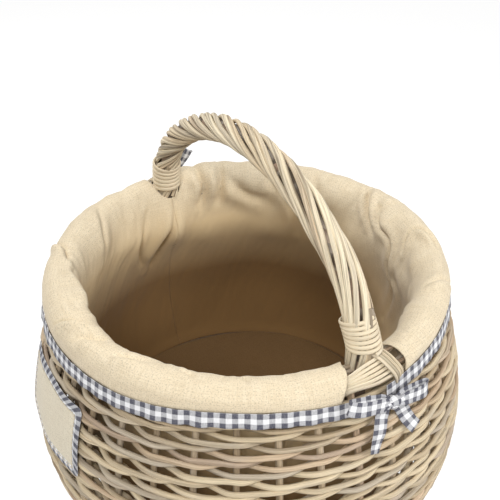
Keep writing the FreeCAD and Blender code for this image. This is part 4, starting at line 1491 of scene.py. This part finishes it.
@dataclass
class Liner:
    """The linen liner: a base panel and two wall panels that fold out over the border as a collar.

    Its section runs up the inside by the points of lower, then over the border to the hem by the
    points of taut_top or loose_top, which blend round the basket. Each point is a radius and a height.
    """

    finishes: Finishes
    columns: int = 392
    thickness: float = 0.0011
    girth: float = 0.170
    mean_radius: float = 0.178
    fullness: float = 1.03
    loose_side: float = 148.0
    tight_side: float = 42.0
    pulled_in: float = 0.0042
    pulled_up: float = 0.0072
    left_slot: tuple[float, float] = (0.0240, 0.0185)
    lower: tuple[tuple[float, float], ...] = (
        (0.1530, 0.0300), (0.1640, 0.0420), (0.1755, 0.0880), (0.1700, 0.1350), (0.1600, 0.1750))
    taut_top: tuple[tuple[float, float], ...] = (
        (0.1535, 0.2000), (0.1528, 0.2130), (0.1545, 0.2280), (0.1590, 0.2378), (0.1665, 0.2420),
        (0.1745, 0.2428), (0.1812, 0.2400), (0.1855, 0.2350), (0.1868, 0.2285), (0.1870, 0.2215))
    loose_top: tuple[tuple[float, float], ...] = (
        (0.1545, 0.2000), (0.1545, 0.2150), (0.1560, 0.2300), (0.1610, 0.2425), (0.1690, 0.2500),
        (0.1770, 0.2508), (0.1835, 0.2460), (0.1868, 0.2380), (0.1875, 0.2300), (0.1870, 0.2220))
    folds: tuple[Fold, ...] = (
        Fold(((-92, 17), (-90, 8), (-87, 0), (-83, -10)), 0.0042, 0.0021, 1.2, -0.3),
        Fold(((-82, 8), (-79, 0), (-76, -9)), 0.0034, 0.0032),
        Fold(((-129, 12), (-127, 3), (-124, -5), (-121, -9)), 0.0052, 0.0027, 1.1, -0.2),
        Fold(((-116, -17), (-111, -21), (-103, -23), (-92, -21)), 0.0052, 0.0034, 1.0, 0.1),
        Fold(((-70, 2), (-66, -3), (-60, -8)), 0.0030, 0.0030, 1.0, 0.2),
        Fold(((168, 4), (167, -12), (166, -24), (168, -44)), 0.0052, 0.0042, 0.9, 0.5),
        Fold(((159, -2), (158.5, -16), (159, -28), (160, -42)), 0.0058, 0.0048, 1.0, 0.7),
        Fold(((156, -14), (153, -25), (147, -36), (139, -43)), 0.0040, 0.0056, 0.9, 0.6),
        Fold(((179, -32), (181, -52), (185, -78), (189, -108)), 0.0060, 0.0050, 1.0, 0.2),
        Fold(((140, -6), (139, -18), (136, -30)), 0.0034, 0.0042),
        Fold(((101, 4), (98, -12), (95, -24), (90, -40)), 0.0054, 0.0034, 0.5, 0.9),
        Fold(((91, -14), (87, -26), (79, -35), (78, -52), (80, -74), (79, -94), (84, -130), (88, -160)),
             0.0054, 0.0034, 0.5, 0.9),
        Fold(((86, 0), (89, -8), (91, -16)), 0.0016, 0.0026),
        Fold(((70, -30), (71, -20), (72, -10), (71, -2), (67, 3), (61, 6)), 0.0052, 0.0026, 0.9, 0.2),
        Fold(((40, -10), (43, -2), (45, 6), (46, 14)), 0.0022, 0.0030),
        Fold(((-52, -12), (-48, -7), (-45, -1)), 0.0022, 0.0024),
        Fold(((-35, -12), (-33, -7), (-32, -1)), 0.0020, 0.0022),
        Fold(((-150, -2), (-146, -14), (-141, -26), (-139, -44)), 0.0028, 0.0034),
        Fold(((122, 4), (121, -10), (119, -26), (121, -48)), 0.0026, 0.0036),
        Fold(((134, -8), (132, -30), (128, -56), (127, -84)), 0.0022, 0.0044),
        Fold(((-112, -22), (-108, -48), (-110, -80), (-107, -120)), 0.0034, 0.0040),
        Fold(((-68, -20), (-71, -52), (-68, -96)), 0.0032, 0.0040),
        Fold(((-22, -20), (-19, -60), (-23, -104)), 0.0034, 0.0042),
        Fold(((30, -24), (34, -60), (31, -112)), 0.0034, 0.0040),
        Fold(((52, -44), (55, -84), (51, -130)), 0.0028, 0.0040),
        Fold(((110, -60), (107, -104), (111, -160)), 0.0028, 0.0044),
        Fold(((-168, -36), (-164, -70), (-167, -112)), 0.0030, 0.0036),
        Fold(((10, 22), (12, 12), (15, 2)), 0.0012, 0.0030),
        Fold(((140, 14), (138, 4), (137, -6)), 0.0016, 0.0030),
        Fold(((176, 20), (171, 12), (164, 8)), 0.0014, 0.0030),
        Fold(((-171, 18), (-165, 10), (-160, 4)), 0.0014, 0.0030),
    )
    swells: tuple[Swell, ...] = (
        Swell(164, -17, 14, 12, 5.5), Swell(147, -24, 18, 17, 6.0), Swell(128, -30, 20, 18, 5.0),
        Swell(156, -56, 44, 13, -3.5), Swell(138, -82, 24, 20, 4.5), Swell(166, -84, 18, 22, 4.0),
        Swell(112, -26, 16, 18, 6.0), Swell(118, -70, 22, 16, -4.0), Swell(84, -22, 12, 14, 5.0),
        Swell(100, -70, 20, 26, 5.0), Swell(70, -60, 18, 30, 5.0),
        Swell(60, -22, 16, 16, 4.5), Swell(-140, -30, 22, 20, 6.5), Swell(-158, -52, 22, 24, 5.5),
        Swell(-120, -62, 30, 22, -5.0), Swell(-100, -20, 24, 14, 3.5), Swell(-76, -60, 26, 24, 4.5),
        Swell(-58, -24, 24, 15, 3.5), Swell(30, -28, 18, 16, 4.0), Swell(92, 8, 20, 12, 1.8),
        Swell(-118, 8, 22, 12, 1.4), Swell(150, 6, 24, 12, 1.2),
        Swell(0, -60, 18, 26, 12.0), Swell(180, -62, 18, 26, 12.0),
    )

    def build(self) -> None:
        """Make the panels."""
        self.cut_wall_panel("liner_rear_panel", 0.0, (0.0290, 0.0275))
        self.cut_wall_panel("liner_front_panel", math.pi, (0.0300, 0.0205))
        self.cut_base_panel()

    def lift(self, angle: np.ndarray) -> np.ndarray:
        """How much higher the hem sits where the collar is pulled up, at the right front.

        Args:
            angle: the angle of each point, in radians.

        Returns:
            The lift at each point, in metres.
        """
        start, foot, end = -66, -4, 52
        degrees = np.degrees(wrap(angle))
        rise = smooth_step((degrees - start) / 30) * (1 - 0.8 * np.exp(-((degrees - foot) / 15) ** 2))
        return self.pulled_up * rise * (1 - smooth_step((degrees - end) / 40))

    def tightness(self, angle: np.ndarray) -> np.ndarray:
        """How far the hem is pulled in on its tight side."""
        return self.pulled_in * np.exp(-(np.degrees(wrap(angle - math.radians(self.tight_side))) / 34) ** 2)

    def section(self, angle: float) -> tuple[np.ndarray, np.ndarray]:
        """The liner's section at an angle.

        Args:
            angle: the angle round the basket.

        Returns:
            Points of radius and height from the floor to the hem, and each one's travel past the crest.
        """
        loose = (1 + math.cos(angle - math.radians(self.loose_side))) / 2
        tight, rise = float(self.tightness(angle)), float(self.lift(angle))
        crest, shoulder, hem = 4, 6, len(self.taut_top) - 1
        top = []
        for number, (taut, slack) in enumerate(zip(self.taut_top, self.loose_top)):
            radius, height = (a * (1 - loose) + b * loose for a, b in zip(taut, slack))
            radius -= tight * max(0, number - crest) / (hem - crest)
            height += rise * max(0, number - shoulder) / (hem - shoulder)
            top.append((radius, height))
        line = smooth_curve([*self.lower, *top], 420)
        length = travelled(line)
        return line, length - length[line[:, 1].argmax()]

    def rows(self) -> np.ndarray:
        """Where the rows of the grid lie, from 0 at the floor to 1 at the hem, closest over the border."""
        border = 0.745
        return np.concatenate([np.linspace(0, border, 52, endpoint=False), np.linspace(border, 1, 62)])

    def surface(self, angle: np.ndarray) -> tuple[np.ndarray, np.ndarray]:
        """Where the cloth is.

        Args:
            angle: the angle of each point of the grid, rows by columns.

        Returns:
            The grid's points, and each one's travel past the crest.
        """
        radius, height, lean_out, lean_up, travel = self.smooth_surface(angle)
        push = self.unevenness(angle, travel)
        return round_the_axis(radius + lean_out * push, angle, height + lean_up * push), travel

    def smooth_surface(self, angle: np.ndarray) -> np.ndarray:
        """The cloth without its folds.

        Args:
            angle: the angle of each point of the grid, rows by columns.

        Returns:
            Five grids: radius, height, the two parts of the direction that the cloth faces, and the
            travel past the crest.
        """
        rows = self.rows()
        samples = np.radians(np.arange(0, 361, 3))
        tables = []
        for sample in samples:
            line, travel = self.section(sample)
            run = directions(line)
            share = np.linspace(0, 1, len(line))
            measures = (line[:, 0], line[:, 1], -run[:, 1], run[:, 0], travel)
            tables.append([np.interp(rows, share, measure) for measure in measures])
        table = np.array(tables)
        grids = np.empty((table.shape[1],) + angle.shape)
        for row, places in enumerate(np.mod(angle, FULL_TURN)):
            for number, grid in enumerate(grids):
                grid[row] = np.interp(places, samples, table[:, number, row])
        return grids

    def unevenness(self, angle: np.ndarray, travel: np.ndarray) -> np.ndarray:
        """How far ripples, folds and swells push each point of the grid towards its outer face.

        Args:
            angle: the angle of each point, in radians.
            travel: metres past the crest.

        Returns:
            The push at each point, in metres.
        """
        share = self.rows()[:, None]
        loose = smooth_step(share / 0.12) * (0.35 + 0.65 * smooth_step((0.93 - share) / 0.06))
        broad = 0.0022 * Waves.draw(4, 7, (3, 8), (4.0, 14.0)).at(angle, share)
        small = 0.00045 * Waves.draw(9, 14, (14, 40), (8.0, 40.0)).at(angle, share)
        fine = 0.00022 * Waves.draw(21, 16, (50, 120), (20.0, 110.0)).at(angle, share)
        lumps = 0.0011 * Waves.draw(23, 12, (10, 34), (2.0, 9.0)).at(angle, share)
        near_crest = np.exp(-((travel + 0.002) / 0.014) ** 2)
        push = loose * (broad + small + fine) + lumps * near_crest
        for shape in (*self.folds, *self.swells):
            push = push + shape.push(angle, travel, self.girth)
        held = smooth_step((1.0 - share) / 0.035)
        return push * (0.3 + 0.7 * held) * smooth_step(share / 0.03)

    def slot(self, share: np.ndarray, at_hem: float, at_crest: float) -> np.ndarray:
        """Half the width of the gap that the panels leave round a foot of the handle.

        Args:
            share: how far along the section, from the floor to the hem.
            at_hem: half the width at the hem.
            at_crest: half the width at the crest.

        Returns:
            Half the width at each share.
        """
        bottom, crest = 0.772, 0.880
        bend, throat = 0.040, 0.0135
        neck_start = bottom + 0.03
        opened = np.clip((share - bottom) / bend, 0, 1)
        half = throat * np.sqrt(1 - (1 - opened) ** 2)
        half = half + (at_crest - throat) * smooth_step((share - neck_start) / (crest - neck_start))
        return half + (at_hem - at_crest) * smooth_step((share - crest) / (1 - crest))

    def cut_wall_panel(self, node: str, turn: float, right_slot: tuple[float, float]) -> None:
        """Make one wall panel, from foot to foot.

        Args:
            node: the panel's CAD node.
            turn: the angle at which it starts.
            right_slot: half the slot's width at the right foot, at the hem and at the crest.
        """
        share = self.rows()
        start, end = self.slot(share, *right_slot), self.slot(share, *self.left_slot)
        if turn > 0.0:
            start, end = end, start
        first = turn + start[:, None] / self.girth
        last = turn + math.pi - end[:, None] / self.girth
        angle = first + (last - first) * np.linspace(0, 1, self.columns)
        points, travel = self.surface(angle)
        flat = together(angle * self.girth, travel)
        piece = cloth_grid(node + "_cloth", points, flat, self.finishes.linen, self.thickness)
        settle(piece, Slot.LINEN, node)

    def cut_base_panel(self) -> None:
        """Make the round base panel."""
        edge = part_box("liner_base_panel")[1]
        radius = np.linspace(0.0005, edge.x, 40)[:, None]
        angle = np.linspace(0, FULL_TURN, 160)[None, :]
        ripple = Waves.draw(31, 10, (2, 7), (10.0, 60.0)).at(angle, radius) * 0.0012
        points = round_the_axis(radius, angle, edge.z + ripple)
        flat = points[..., :2].copy()
        # The base panel takes the dark brown linen, painted shade for the deep floor.
        piece = cloth_grid("liner_base_panel_cloth", points, flat, self.finishes.floor_linen_painted_shade, self.thickness)
        settle(piece, Slot.LINEN, "liner_base_panel")


# -------------------- trims


@dataclass(frozen=True)
class Loop:
    """One loop of a bow: its side of the knot, its reach and how steeply it rises, in radians."""

    name: str
    side: int
    reach: float
    rise: float


@dataclass(frozen=True)
class Tail:
    """One tail of a bow: its side of the knot, its length and its angle from plumb in degrees."""

    name: str
    side: int
    length: float
    spread: float


@dataclass
class Trims:
    """The gingham ribbons and bows and the bound label."""

    finishes: Finishes
    liner: Liner
    wall: WallLine = field(default_factory=WallLine)
    weave_depth: float = 0.0084
    width: float = 0.0135
    bow_width: float = 0.0120
    thickness: float = 0.0006
    hem_radius: float = 0.187
    hem_height: float = 0.2215
    front_loop: Loop = Loop("front", -1, 0.043, 0.30)
    right_loop: Loop = Loop("rear", 1, 0.038, -0.08)
    left_loop: Loop = Loop("rear", 1, 0.058, 0.98)
    tails: tuple[Tail, ...] = (Tail("rear", 1, 0.046, 36), Tail("front", -1, 0.048, 24))
    loop_outline: tuple[tuple[float, float], ...] = (
        (0.001, 0.0002), (0.12, 0.055), (0.42, 0.095), (0.80, 0.10), (0.985, 0.055), (0.995, 0.005),
        (0.80, -0.030), (0.42, -0.020), (0.12, -0.015), (0.001, -0.001))
    label_angle: float = -92.0
    label_radius: float = 0.206
    label_half: float = 0.0575
    binding: float = 0.0082

    def build(self) -> None:
        """Make the pieces."""
        self.run_ribbon("hem_ribbon_rear", 1)
        self.run_ribbon("hem_ribbon_front", -1)
        for foot in Foot:
            self.tie_bow(foot)
        self.sew_label()

    def face(self, height: np.ndarray) -> np.ndarray:
        """The radius of the wall's outer face at a height."""
        return np.vectorize(self.wall.radius)(height) + self.weave_depth

    def run_ribbon(self, node: str, side: int) -> None:
        """Lay a ribbon along the hem from foot to foot.

        Args:
            node: the ribbon's CAD node.
            side: 1 for the rear and -1 for the front.
        """
        first, last = 2.5, 177.5
        angle = side * np.radians(np.linspace(first, last, 420))[None, :]
        across = np.linspace(0, 1, 9)[:, None]
        height = self.hem_height + self.liner.lift(angle) + 0.0010 - across * self.width * 0.97
        over_hem = self.hem_radius + 0.0016 - self.liner.tightness(angle) + 0.0022 * across
        radius = np.maximum(over_hem, self.face(height) + 0.0004)
        ruffle = Waves.draw(41, 8, (20, 70), (0.0, 2.0)).at(angle, across)
        radius = radius + ruffle * (0.00035 + 0.0005 * across)
        height = height + 0.00045 * Waves.draw(43, 6, (6, 30), (0.0, 0.5)).at(angle, across)
        points = round_the_axis(radius, angle, height)
        flat = together(angle * self.hem_radius, across * self.width)
        if side > 0:
            points, flat = points[::-1], flat[::-1]
        piece = cloth_grid(node + "_cloth", points, flat, self.finishes.gingham, self.thickness)
        settle(piece, Slot.GINGHAM, node)

    def strip(self, name: str, line: np.ndarray, broad: np.ndarray, width: np.ndarray,
              pinch: np.ndarray) -> Object:
        """A strip of ribbon along a line.

        Args:
            name: the piece's name.
            line: the middle of the ribbon.
            broad: the direction across the ribbon at each point.
            width: the ribbon's width at each point.
            pinch: how deeply it is gathered at each point, in metres.

        Returns:
            The piece.
        """
        across = np.linspace(-0.5, 0.5, 13)[:, None, None]
        heading = directions(line)
        broad = unit(broad - heading * (broad * heading).sum(axis=1, keepdims=True))
        normal = np.cross(heading, broad)
        gather = np.cos(across * 5 * math.pi) * pinch[None, :, None]
        points = line[None] + across * (broad * width[:, None])[None] + gather * normal[None]
        flat = together(travelled(line)[None], (across[..., 0] + 0.5) * self.bow_width)
        return cloth_grid(name, points, flat, self.finishes.gingham, self.thickness)

    def tie_bow(self, foot: Foot) -> None:
        """Tie a bow at a foot: two loops, a knot round them and two tails.

        Args:
            foot: the foot of the handle over the bow.
        """
        low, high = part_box(f"bow_{foot.side}_knot")
        middle = np.array([(low.x + high.x) / 2 + 0.002 * foot.value, 0.009, (low.z + high.z) / 2 + 0.004])
        out = np.array([float(foot.value), 0.0, 0.0])
        rear_loop = self.right_loop if foot is Foot.RIGHT else self.left_loop
        for loop in (rear_loop, self.front_loop):
            self.bend_loop(foot, loop, middle, out)
        for tail in self.tails:
            self.hang_tail(foot, tail, middle, out)
        self.tie_knot(foot, middle, out)

    def bend_loop(self, foot: Foot, loop: Loop, middle: np.ndarray, out: np.ndarray) -> None:
        """Bend one loop of a bow.

        Args:
            foot: the foot of the handle over the bow.
            loop: the loop's side and reach.
            middle: the middle of the knot.
            out: the direction away from the basket.
        """
        number = 90
        along = np.array([0.0, loop.side * math.cos(loop.rise), math.sin(loop.rise)])
        over = np.array([0.0, -loop.side * math.sin(loop.rise), math.cos(loop.rise)])
        outline = smooth_curve([(x * loop.reach, y * loop.reach) for x, y in self.loop_outline], number)
        share = np.clip(outline[:, 0] / loop.reach, 0, 1)
        sag = (0.0012 * np.sin(share * math.pi * 1.6))[:, None] * over
        bend = -0.10 * (outline[:, :1] / loop.reach) ** 2 * loop.reach
        line = middle + outline[:, :1] * along + (outline[:, 1:] + bend) * out + sag
        width = self.bow_width * (0.50 + 0.50 * smooth_step(share / 0.34))
        pinch = 0.0011 * (1 - smooth_step(share / 0.6))
        lean = (-0.34 + 0.16 * np.sin(np.linspace(0, FULL_TURN, number)))[:, None]
        piece = self.strip(f"bow_{foot.side}_loop_{loop.name}", line, over + lean * out, width, pinch)
        settle(piece, Slot.GINGHAM, f"bow_{foot.side}_loops")
        f"bow_{foot.side}_knot_cloth"

    def hang_tail(self, foot: Foot, tail: Tail, middle: np.ndarray, out: np.ndarray) -> None:
        """Hang one tail of a bow against the wall.

        Args:
            foot: the foot of the handle over the bow.
            tail: the tail's side and length.
            middle: the middle of the knot.
            out: the direction away from the basket.
        """
        turn = math.radians(tail.spread)
        steps = np.linspace(0, 1, 50)
        sideways = steps * tail.length * math.sin(turn) + 0.002 * np.sin(steps * 5.0)
        slide = middle[1] + tail.side * sideways
        height = middle[2] - steps * tail.length * math.cos(turn)
        stand = 0.0040 + 0.0026 * np.sin(steps * 6.5 + tail.side) * steps
        radial = self.face(np.minimum(height, 0.219)) + stand
        radial = np.maximum(radial, abs(middle[0]) - 0.004 * (1 - steps))
        depth = np.sqrt(np.maximum(radial ** 2 - slide ** 2, 0))
        line = together(foot.value * depth, slide, height)
        level = np.array([0.0, math.cos(turn), tail.side * math.sin(turn)])
        broad = level + 0.25 * np.sin(steps * 4)[:, None] * out
        width = self.bow_width * (0.5 + 0.5 * smooth_step(steps / 0.3))
        pinch = 0.0009 * (1 - smooth_step(steps / 0.45))
        piece = self.strip(f"bow_{foot.side}_tail_{tail.name}", line, broad, width, pinch)
        settle(piece, Slot.GINGHAM, f"bow_{foot.side}_tails")
        f"bow_{foot.side}_knot_cloth"

    def tie_knot(self, foot: Foot, middle: np.ndarray, out: np.ndarray) -> None:
        """Wrap the ribbon round the middle of a bow.

        Args:
            foot: the foot of the handle over the bow.
            middle: the middle of the knot.
            out: the direction away from the basket.
        """
        turn = np.linspace(0, FULL_TURN, 49)[None, :]
        across = np.linspace(-1, 1, 17)[:, None]
        swell = np.sqrt(np.maximum(1 - (across * 0.82) ** 2, 0))
        crease = 0.00035 * np.cos(across * 9.0 + 0.6 * np.sin(turn))
        tall, deep = 0.0056 * swell + crease, 0.0050 * swell + crease
        side = across * 0.0046 + 0.0006 * np.sin(turn * 2)
        points = middle + together(deep * np.cos(turn) * out[0], side, tall * np.sin(turn))
        flat = together(turn * 0.0052, across * 0.0055)
        if foot is Foot.LEFT:
            points, flat = points[::-1], flat[::-1]
        name = f"bow_{foot.side}_knot_cloth"
        piece = cloth_grid(name, points, flat, self.finishes.gingham, self.thickness)
        settle(piece, Slot.GINGHAM, f"bow_{foot.side}_knot")
        f"bow_{foot.side}_loop_rear"

    def on_label(self, place: np.ndarray, height: np.ndarray, lift: float) -> np.ndarray:
        """Points on the label's face.

        Args:
            place: metres along the label from its middle.
            height: metres over the floor.
            lift: how far the points stand off the wall.

        Returns:
            The points.
        """
        radius = self.face(height) + lift + 0.0006 * np.sin(place * 90 + height * 60)
        return round_the_axis(radius, math.radians(self.label_angle) + place / self.label_radius, height)

    def sew_label(self) -> None:
        """Make the bare linen label with its gingham binding and a line of stitches."""
        low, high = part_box("label_patch")
        edge = 0.002
        wide = np.linspace(edge - self.label_half, self.label_half - edge, 90)[None, :]
        tall = np.linspace(low.z + edge, high.z - edge, 50)[:, None]
        points = self.on_label(wide, tall, 0.0010)
        patch = cloth_grid("label_patch_cloth", points, together(wide, tall), self.finishes.label, 0.0009)
        settle(patch, Slot.LABEL_CLOTH, "label_patch")
        outer = self.label_edge(0.0, 0.006, 260)
        inner = self.label_edge(self.binding, 0.002, 260)
        across = np.linspace(0, 1, 7)[:, None, None]
        band = outer[None] * (1 - across) + inner[None] * across
        points = self.on_label(band[..., 0], band[..., 1], 0.0)
        stand = 0.0019 - 0.0008 * np.abs(across - 0.5) * 2
        points = points + outward_from_axis(points) * stand
        run = travelled(outer)
        flat = together(run[None], across[..., 0] * self.binding)
        binding = cloth_grid("label_binding_cloth", points[::-1], flat[::-1], self.finishes.gingham,
                             self.thickness)
        settle(binding, Slot.GINGHAM, "label_binding")
        self.stitch(self.label_edge(0.0070, 0.0025, 400))

    def label_edge(self, inset: float, corner: float, number: int) -> np.ndarray:
        """A line round the label with rounded corners.

        Args:
            inset: how far the line lies inside the label's edge.
            corner: the radius of its corners.
            number: how many points to return.

        Returns:
            Places along and over the label.
        """
        low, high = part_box("label_patch")
        half, bottom, top = self.label_half - inset, low.z + inset, high.z - inset
        turns = []
        for x, z, start in ((half, bottom, -90), (half, top, 0), (-half, top, 90), (-half, bottom, 180)):
            angle = np.radians(np.linspace(start, start + 90, 8))
            centre = [x - math.copysign(corner, x), z + (corner if z == bottom else -corner)]
            turns.append(centre + corner * np.stack([np.cos(angle), np.sin(angle)], axis=1))
        return even_steps(np.vstack(turns + [turns[0][:1]]), number)

    def stitch(self, line: np.ndarray) -> None:
        """Sew running stitches along a line on the label.

        Args:
            line: places along and over the label.
        """
        points = self.on_label(line[:, 0], line[:, 1], 0.0022)
        start = line_mesh("stitch_start", points, outward_from_axis(points))
        piece = stitches_graph().grow("label_stitches", start, {
            "Spacing": 0.0034, "Length": 0.0021, "Radius": 0.00032, "Seed": 4, "Finish": self.finishes.cane})
        settle(piece, Slot.LABEL_CLOTH)


# -------------------- studio


@dataclass(frozen=True)
class Lamp:
    """A square soft lamp that looks at the basket's mouth."""

    name: str
    place: Place
    size: float
    power: float

    def hang(self) -> None:
        """Add the lamp."""
        data = bpy.data.lights.new(self.name, "AREA")
        data.size = self.size
        data.energy = self.power
        lamp = bpy.data.objects.new(self.name, data)
        lamp.location = self.place
        mouth = Vector((0, 0, 0.2))
        lamp.rotation_euler = (Vector(self.place) - mouth).to_track_quat("Z", "Y").to_euler()
        bpy.context.scene.collection.objects.link(lamp)


@dataclass(frozen=True)
class Studio:
    """A pale floor, soft light and the camera."""

    azimuth: float = 57.6
    elevation: float = 33.0
    distance: float = 0.718
    lens: float = 55.7
    target: Place = (-0.0029, 0.0040, 0.2471)
    surround: float = 0.34
    lamps: tuple[Lamp, ...] = (
        Lamp("key", (0.78, -0.66, 1.18), 0.4, 10.8),
        Lamp("side", (0.98, 0.76, 0.90), 0.6, 9.0),
        Lamp("back", (-0.90, -0.20, 1.30), 0.7, 9.5),
    )

    def build(self) -> None:
        """Set the stage."""
        self.place_camera()
        self.lay_floor()
        self.fill_surround()
        for lamp in self.lamps:
            lamp.hang()
        bpy.context.scene.view_settings.view_transform = "Standard"

    def place_camera(self) -> None:
        """Aim the camera at the basket's mouth."""
        azimuth, elevation = math.radians(self.azimuth), math.radians(self.elevation)
        away = Vector((math.sin(azimuth) * math.cos(elevation), -math.cos(azimuth) * math.cos(elevation),
                       math.sin(elevation)))
        data = bpy.data.cameras.new("camera")
        data.lens = self.lens
        camera = bpy.data.objects.new("camera", data)
        camera.location = Vector(self.target) + away * self.distance
        camera.rotation_euler = away.to_track_quat("Z", "Y").to_euler()
        bpy.context.scene.collection.objects.link(camera)
        bpy.context.scene.camera = camera

    def seen(self, shader: Shader) -> Value:
        """Tell the rays that see the object from those that light it.

        Args:
            shader: the tree that asks.

        Returns:
            1 for a ray from the camera or off a mirror, and 0 for the others.
        """
        path = shader.add("ShaderNodeLightPath").outputs
        straight = shader.math("MAXIMUM", path["Is Camera Ray"], path["Is Glossy Ray"])
        return shader.math("MAXIMUM", straight, path["Is Transmission Ray"])

    def lay_floor(self) -> None:
        """A white floor that keeps the basket's shadow."""
        reach = 6.0
        mesh = bpy.data.meshes.new("floor")
        corners = [(-reach, -reach, 0), (reach, -reach, 0), (reach, reach, 0), (-reach, reach, 0)]
        mesh.from_pydata(corners, [], [(0, 1, 2, 3)])
        floor = bpy.data.objects.new("floor", mesh)
        bpy.context.scene.collection.objects.link(floor)
        shader = Shader(bpy.data.materials.new("floor"))
        mesh.materials.append(shader.finish({"Base Color": (0.86, 0.85, 0.84, 1.0), "Roughness": 0.9}))
        nodes = shader.tree.nodes
        white = shader.add("ShaderNodeEmission", None, {"Color": WHITE, "Strength": 1.24})
        mix = shader.add("ShaderNodeMixShader", None, {
            0: self.seen(shader) * 0.68,
            1: nodes["Principled BSDF"].outputs[0],
            2: white.outputs[0],
        })
        shader.feed(nodes["Material Output"].inputs["Surface"], mix.outputs[0])

    def fill_surround(self) -> None:
        """A pale surround that the camera sees as white."""
        world = bpy.data.worlds.new("surround")
        bpy.context.scene.world = world
        shader = Shader(world)
        nodes = shader.tree.nodes
        soft = nodes["Background"]
        shader.feed(soft.inputs["Color"], WHITE)
        shader.feed(soft.inputs["Strength"], self.surround)
        white = shader.add("ShaderNodeBackground", None, {"Color": WHITE, "Strength": 1.0})
        mix = shader.add("ShaderNodeMixShader", None, {
            0: self.seen(shader), 1: soft.outputs[0], 2: white.outputs[0]})
        shader.feed(nodes["World Output"].inputs["Surface"], mix.outputs[0])


def main() -> None:
    """Build every sub-assembly and report its pieces."""
    logging.basicConfig(level=logging.INFO, format="%(message)s")
    Studio().build()
    finishes = Finishes()
    liner = Liner(finishes)
    for assembly in (Wicker(finishes), Handle(finishes), liner, Trims(finishes, liner)):
        assembly.build()


if __name__ == "__main__":
    main()
